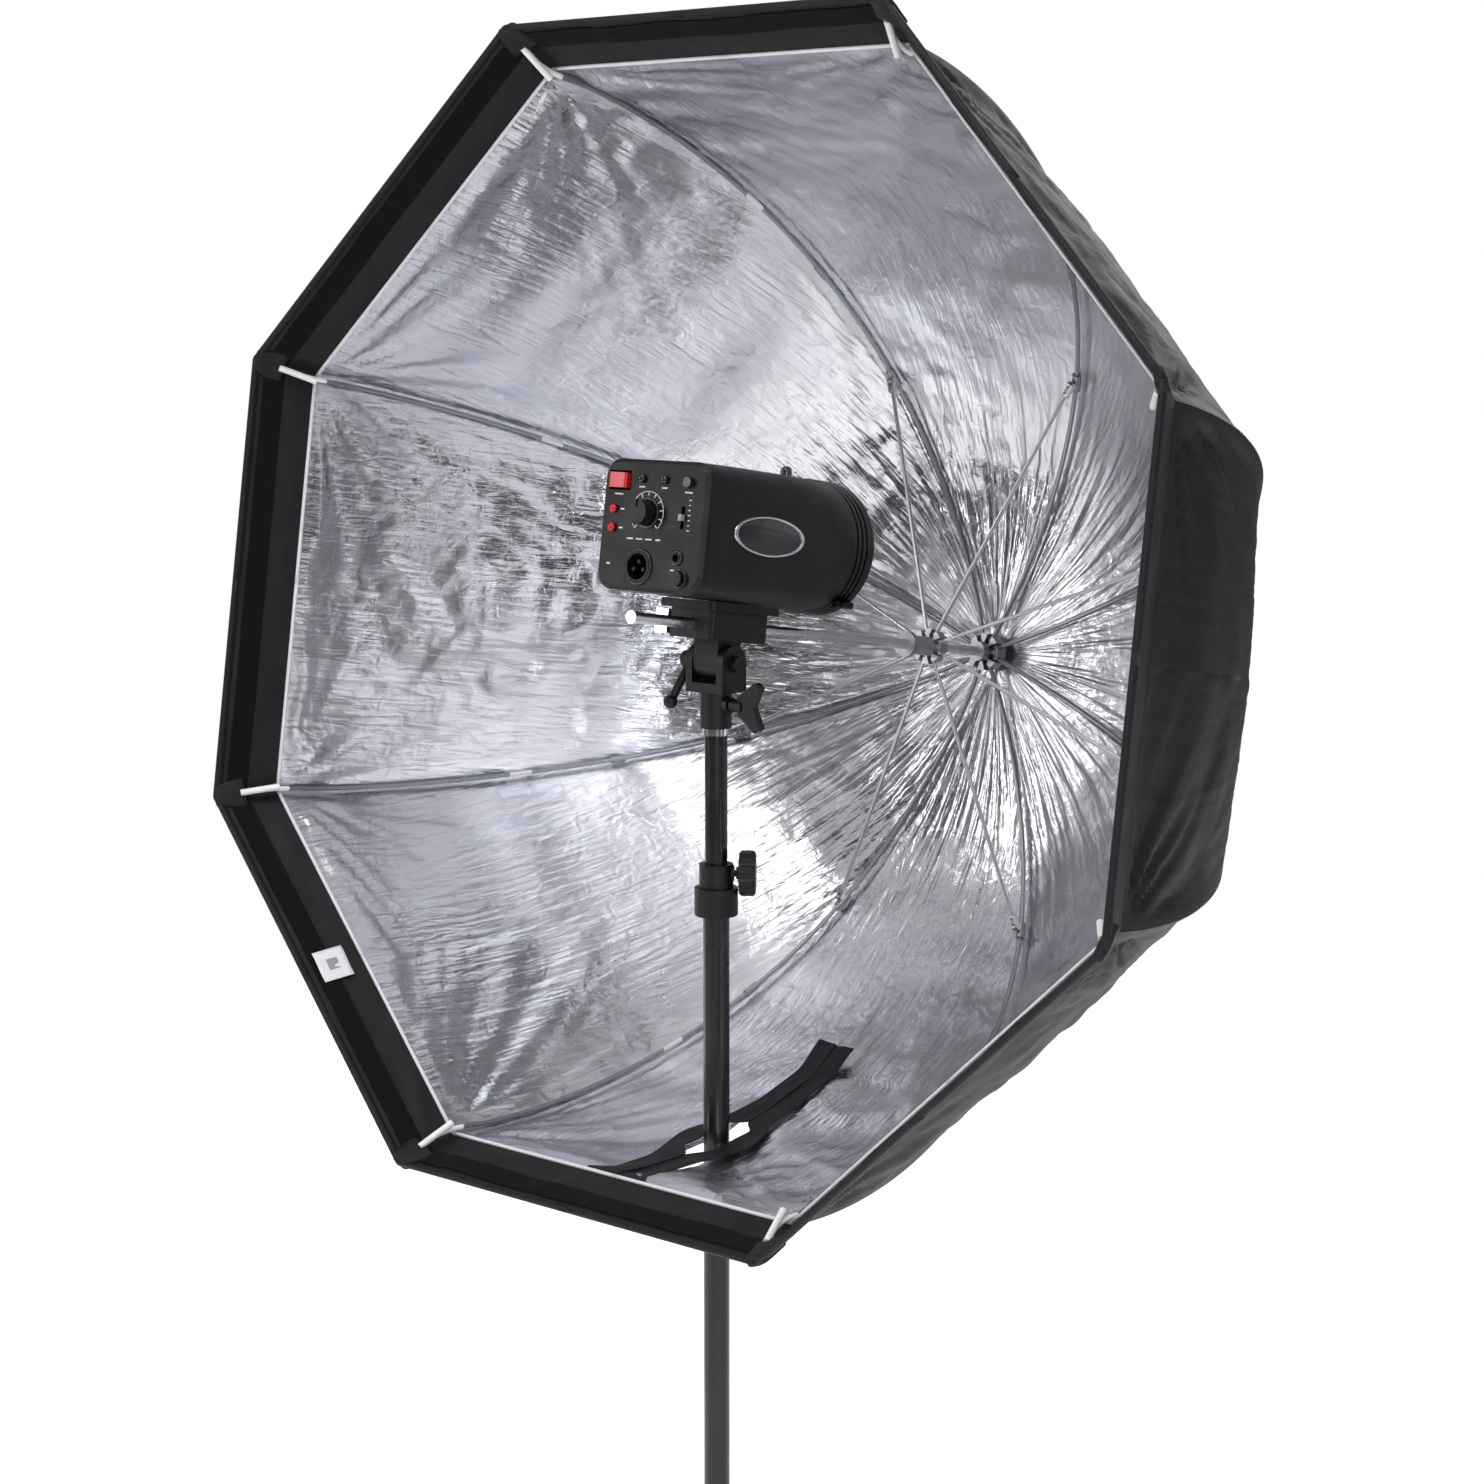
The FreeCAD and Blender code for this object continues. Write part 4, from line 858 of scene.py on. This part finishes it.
# Bezels of the dial, the mains inlet, the sync socket and the fuse: turned rings, lightly polished.
bm = bmesh.new()
for (x, z), inside, outside in ((DIAL, 10.6, 12.6), (INLET, 12.9, 14.8), (SOCKET, 4.5, 6.2),
                                (FUSE, 6.4, 8.0)):
    lathe(bm, [(inside, 0.0), (inside, 1.2), (inside + 0.4, 1.7), (outside - 0.5, 1.5),
               (outside, 0.9), (outside, 0.0)], on_panel(x, z), 40)
bmesh.ops.recalc_face_normals(bm, faces=bm.faces)
bezel = grained("polished_black_abs", "#161618", 0.22, 3.0, 0.0001)
bezels = piece_from("panel_bezels", bm, bezel)
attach(bezels, "head")

# ---- Badge on the side of the head
# A blank oval plate of black acrylic in a polished rim, 88 by 32 mm, stuck on the shell.
BADGE_PLACE = (0.0575, -0.016, HEAD_MIDDLE + 0.001)
BADGE_SIZE = (0.044, 0.016)  # half its length and half its height


def oval(bm, scale, steps):
    """Stacked ovals, each (share of full size, height in mm), closed over at the last."""
    ring = bmesh.ops.create_circle(bm, segments=64, radius=1.0)["verts"]
    edges = list({e for v in ring for e in v.link_edges})
    last, lift = steps[0]
    for vert in ring:
        vert.co = Vector((lift / 1000, vert.co.x * scale[0] * last, vert.co.y * scale[1] * last))
    for size, lift in steps[1:]:
        grown = bmesh.ops.extrude_edge_only(bm, edges=edges)["geom"]
        for vert in (g for g in grown if isinstance(g, bmesh.types.BMVert)):
            vert.co = Vector((lift / 1000, vert.co.y * size / last, vert.co.z * size / last))
        edges = [g for g in grown if isinstance(g, bmesh.types.BMEdge)
                 and all(abs(v.co.x - lift / 1000) < 1e-7 for v in g.verts)
                 and len(g.link_faces) < 2]
        last = size
    bmesh.ops.contextual_create(bm, geom=edges)
    for vert in bm.verts:
        vert.co = tilted(*(vert.co + Vector(BADGE_PLACE)))
    bmesh.ops.recalc_face_normals(bm, faces=bm.faces)


bm = bmesh.new()
oval(bm, BADGE_SIZE, [(1.0, -0.6), (1.0, 0.7), (0.985, 1.1), (0.945, 1.2), (0.91, 0.9), (0.9, 0.4)])
badge_rim = piece_from("badge_rim", bm, stud_metal)
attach(badge_rim, "head")
bm = bmesh.new()
oval(bm, BADGE_SIZE, [(0.905, -0.4), (0.9, 0.62), (0.87, 0.8)])
badge_acrylic = grained("black_acrylic", "#0B0B0C", 0.18, 5.0, 0.00005, Coat_Weight=0.5)
badge_plate = piece_from("badge_plate", bm, badge_acrylic)
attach(badge_plate, "head")
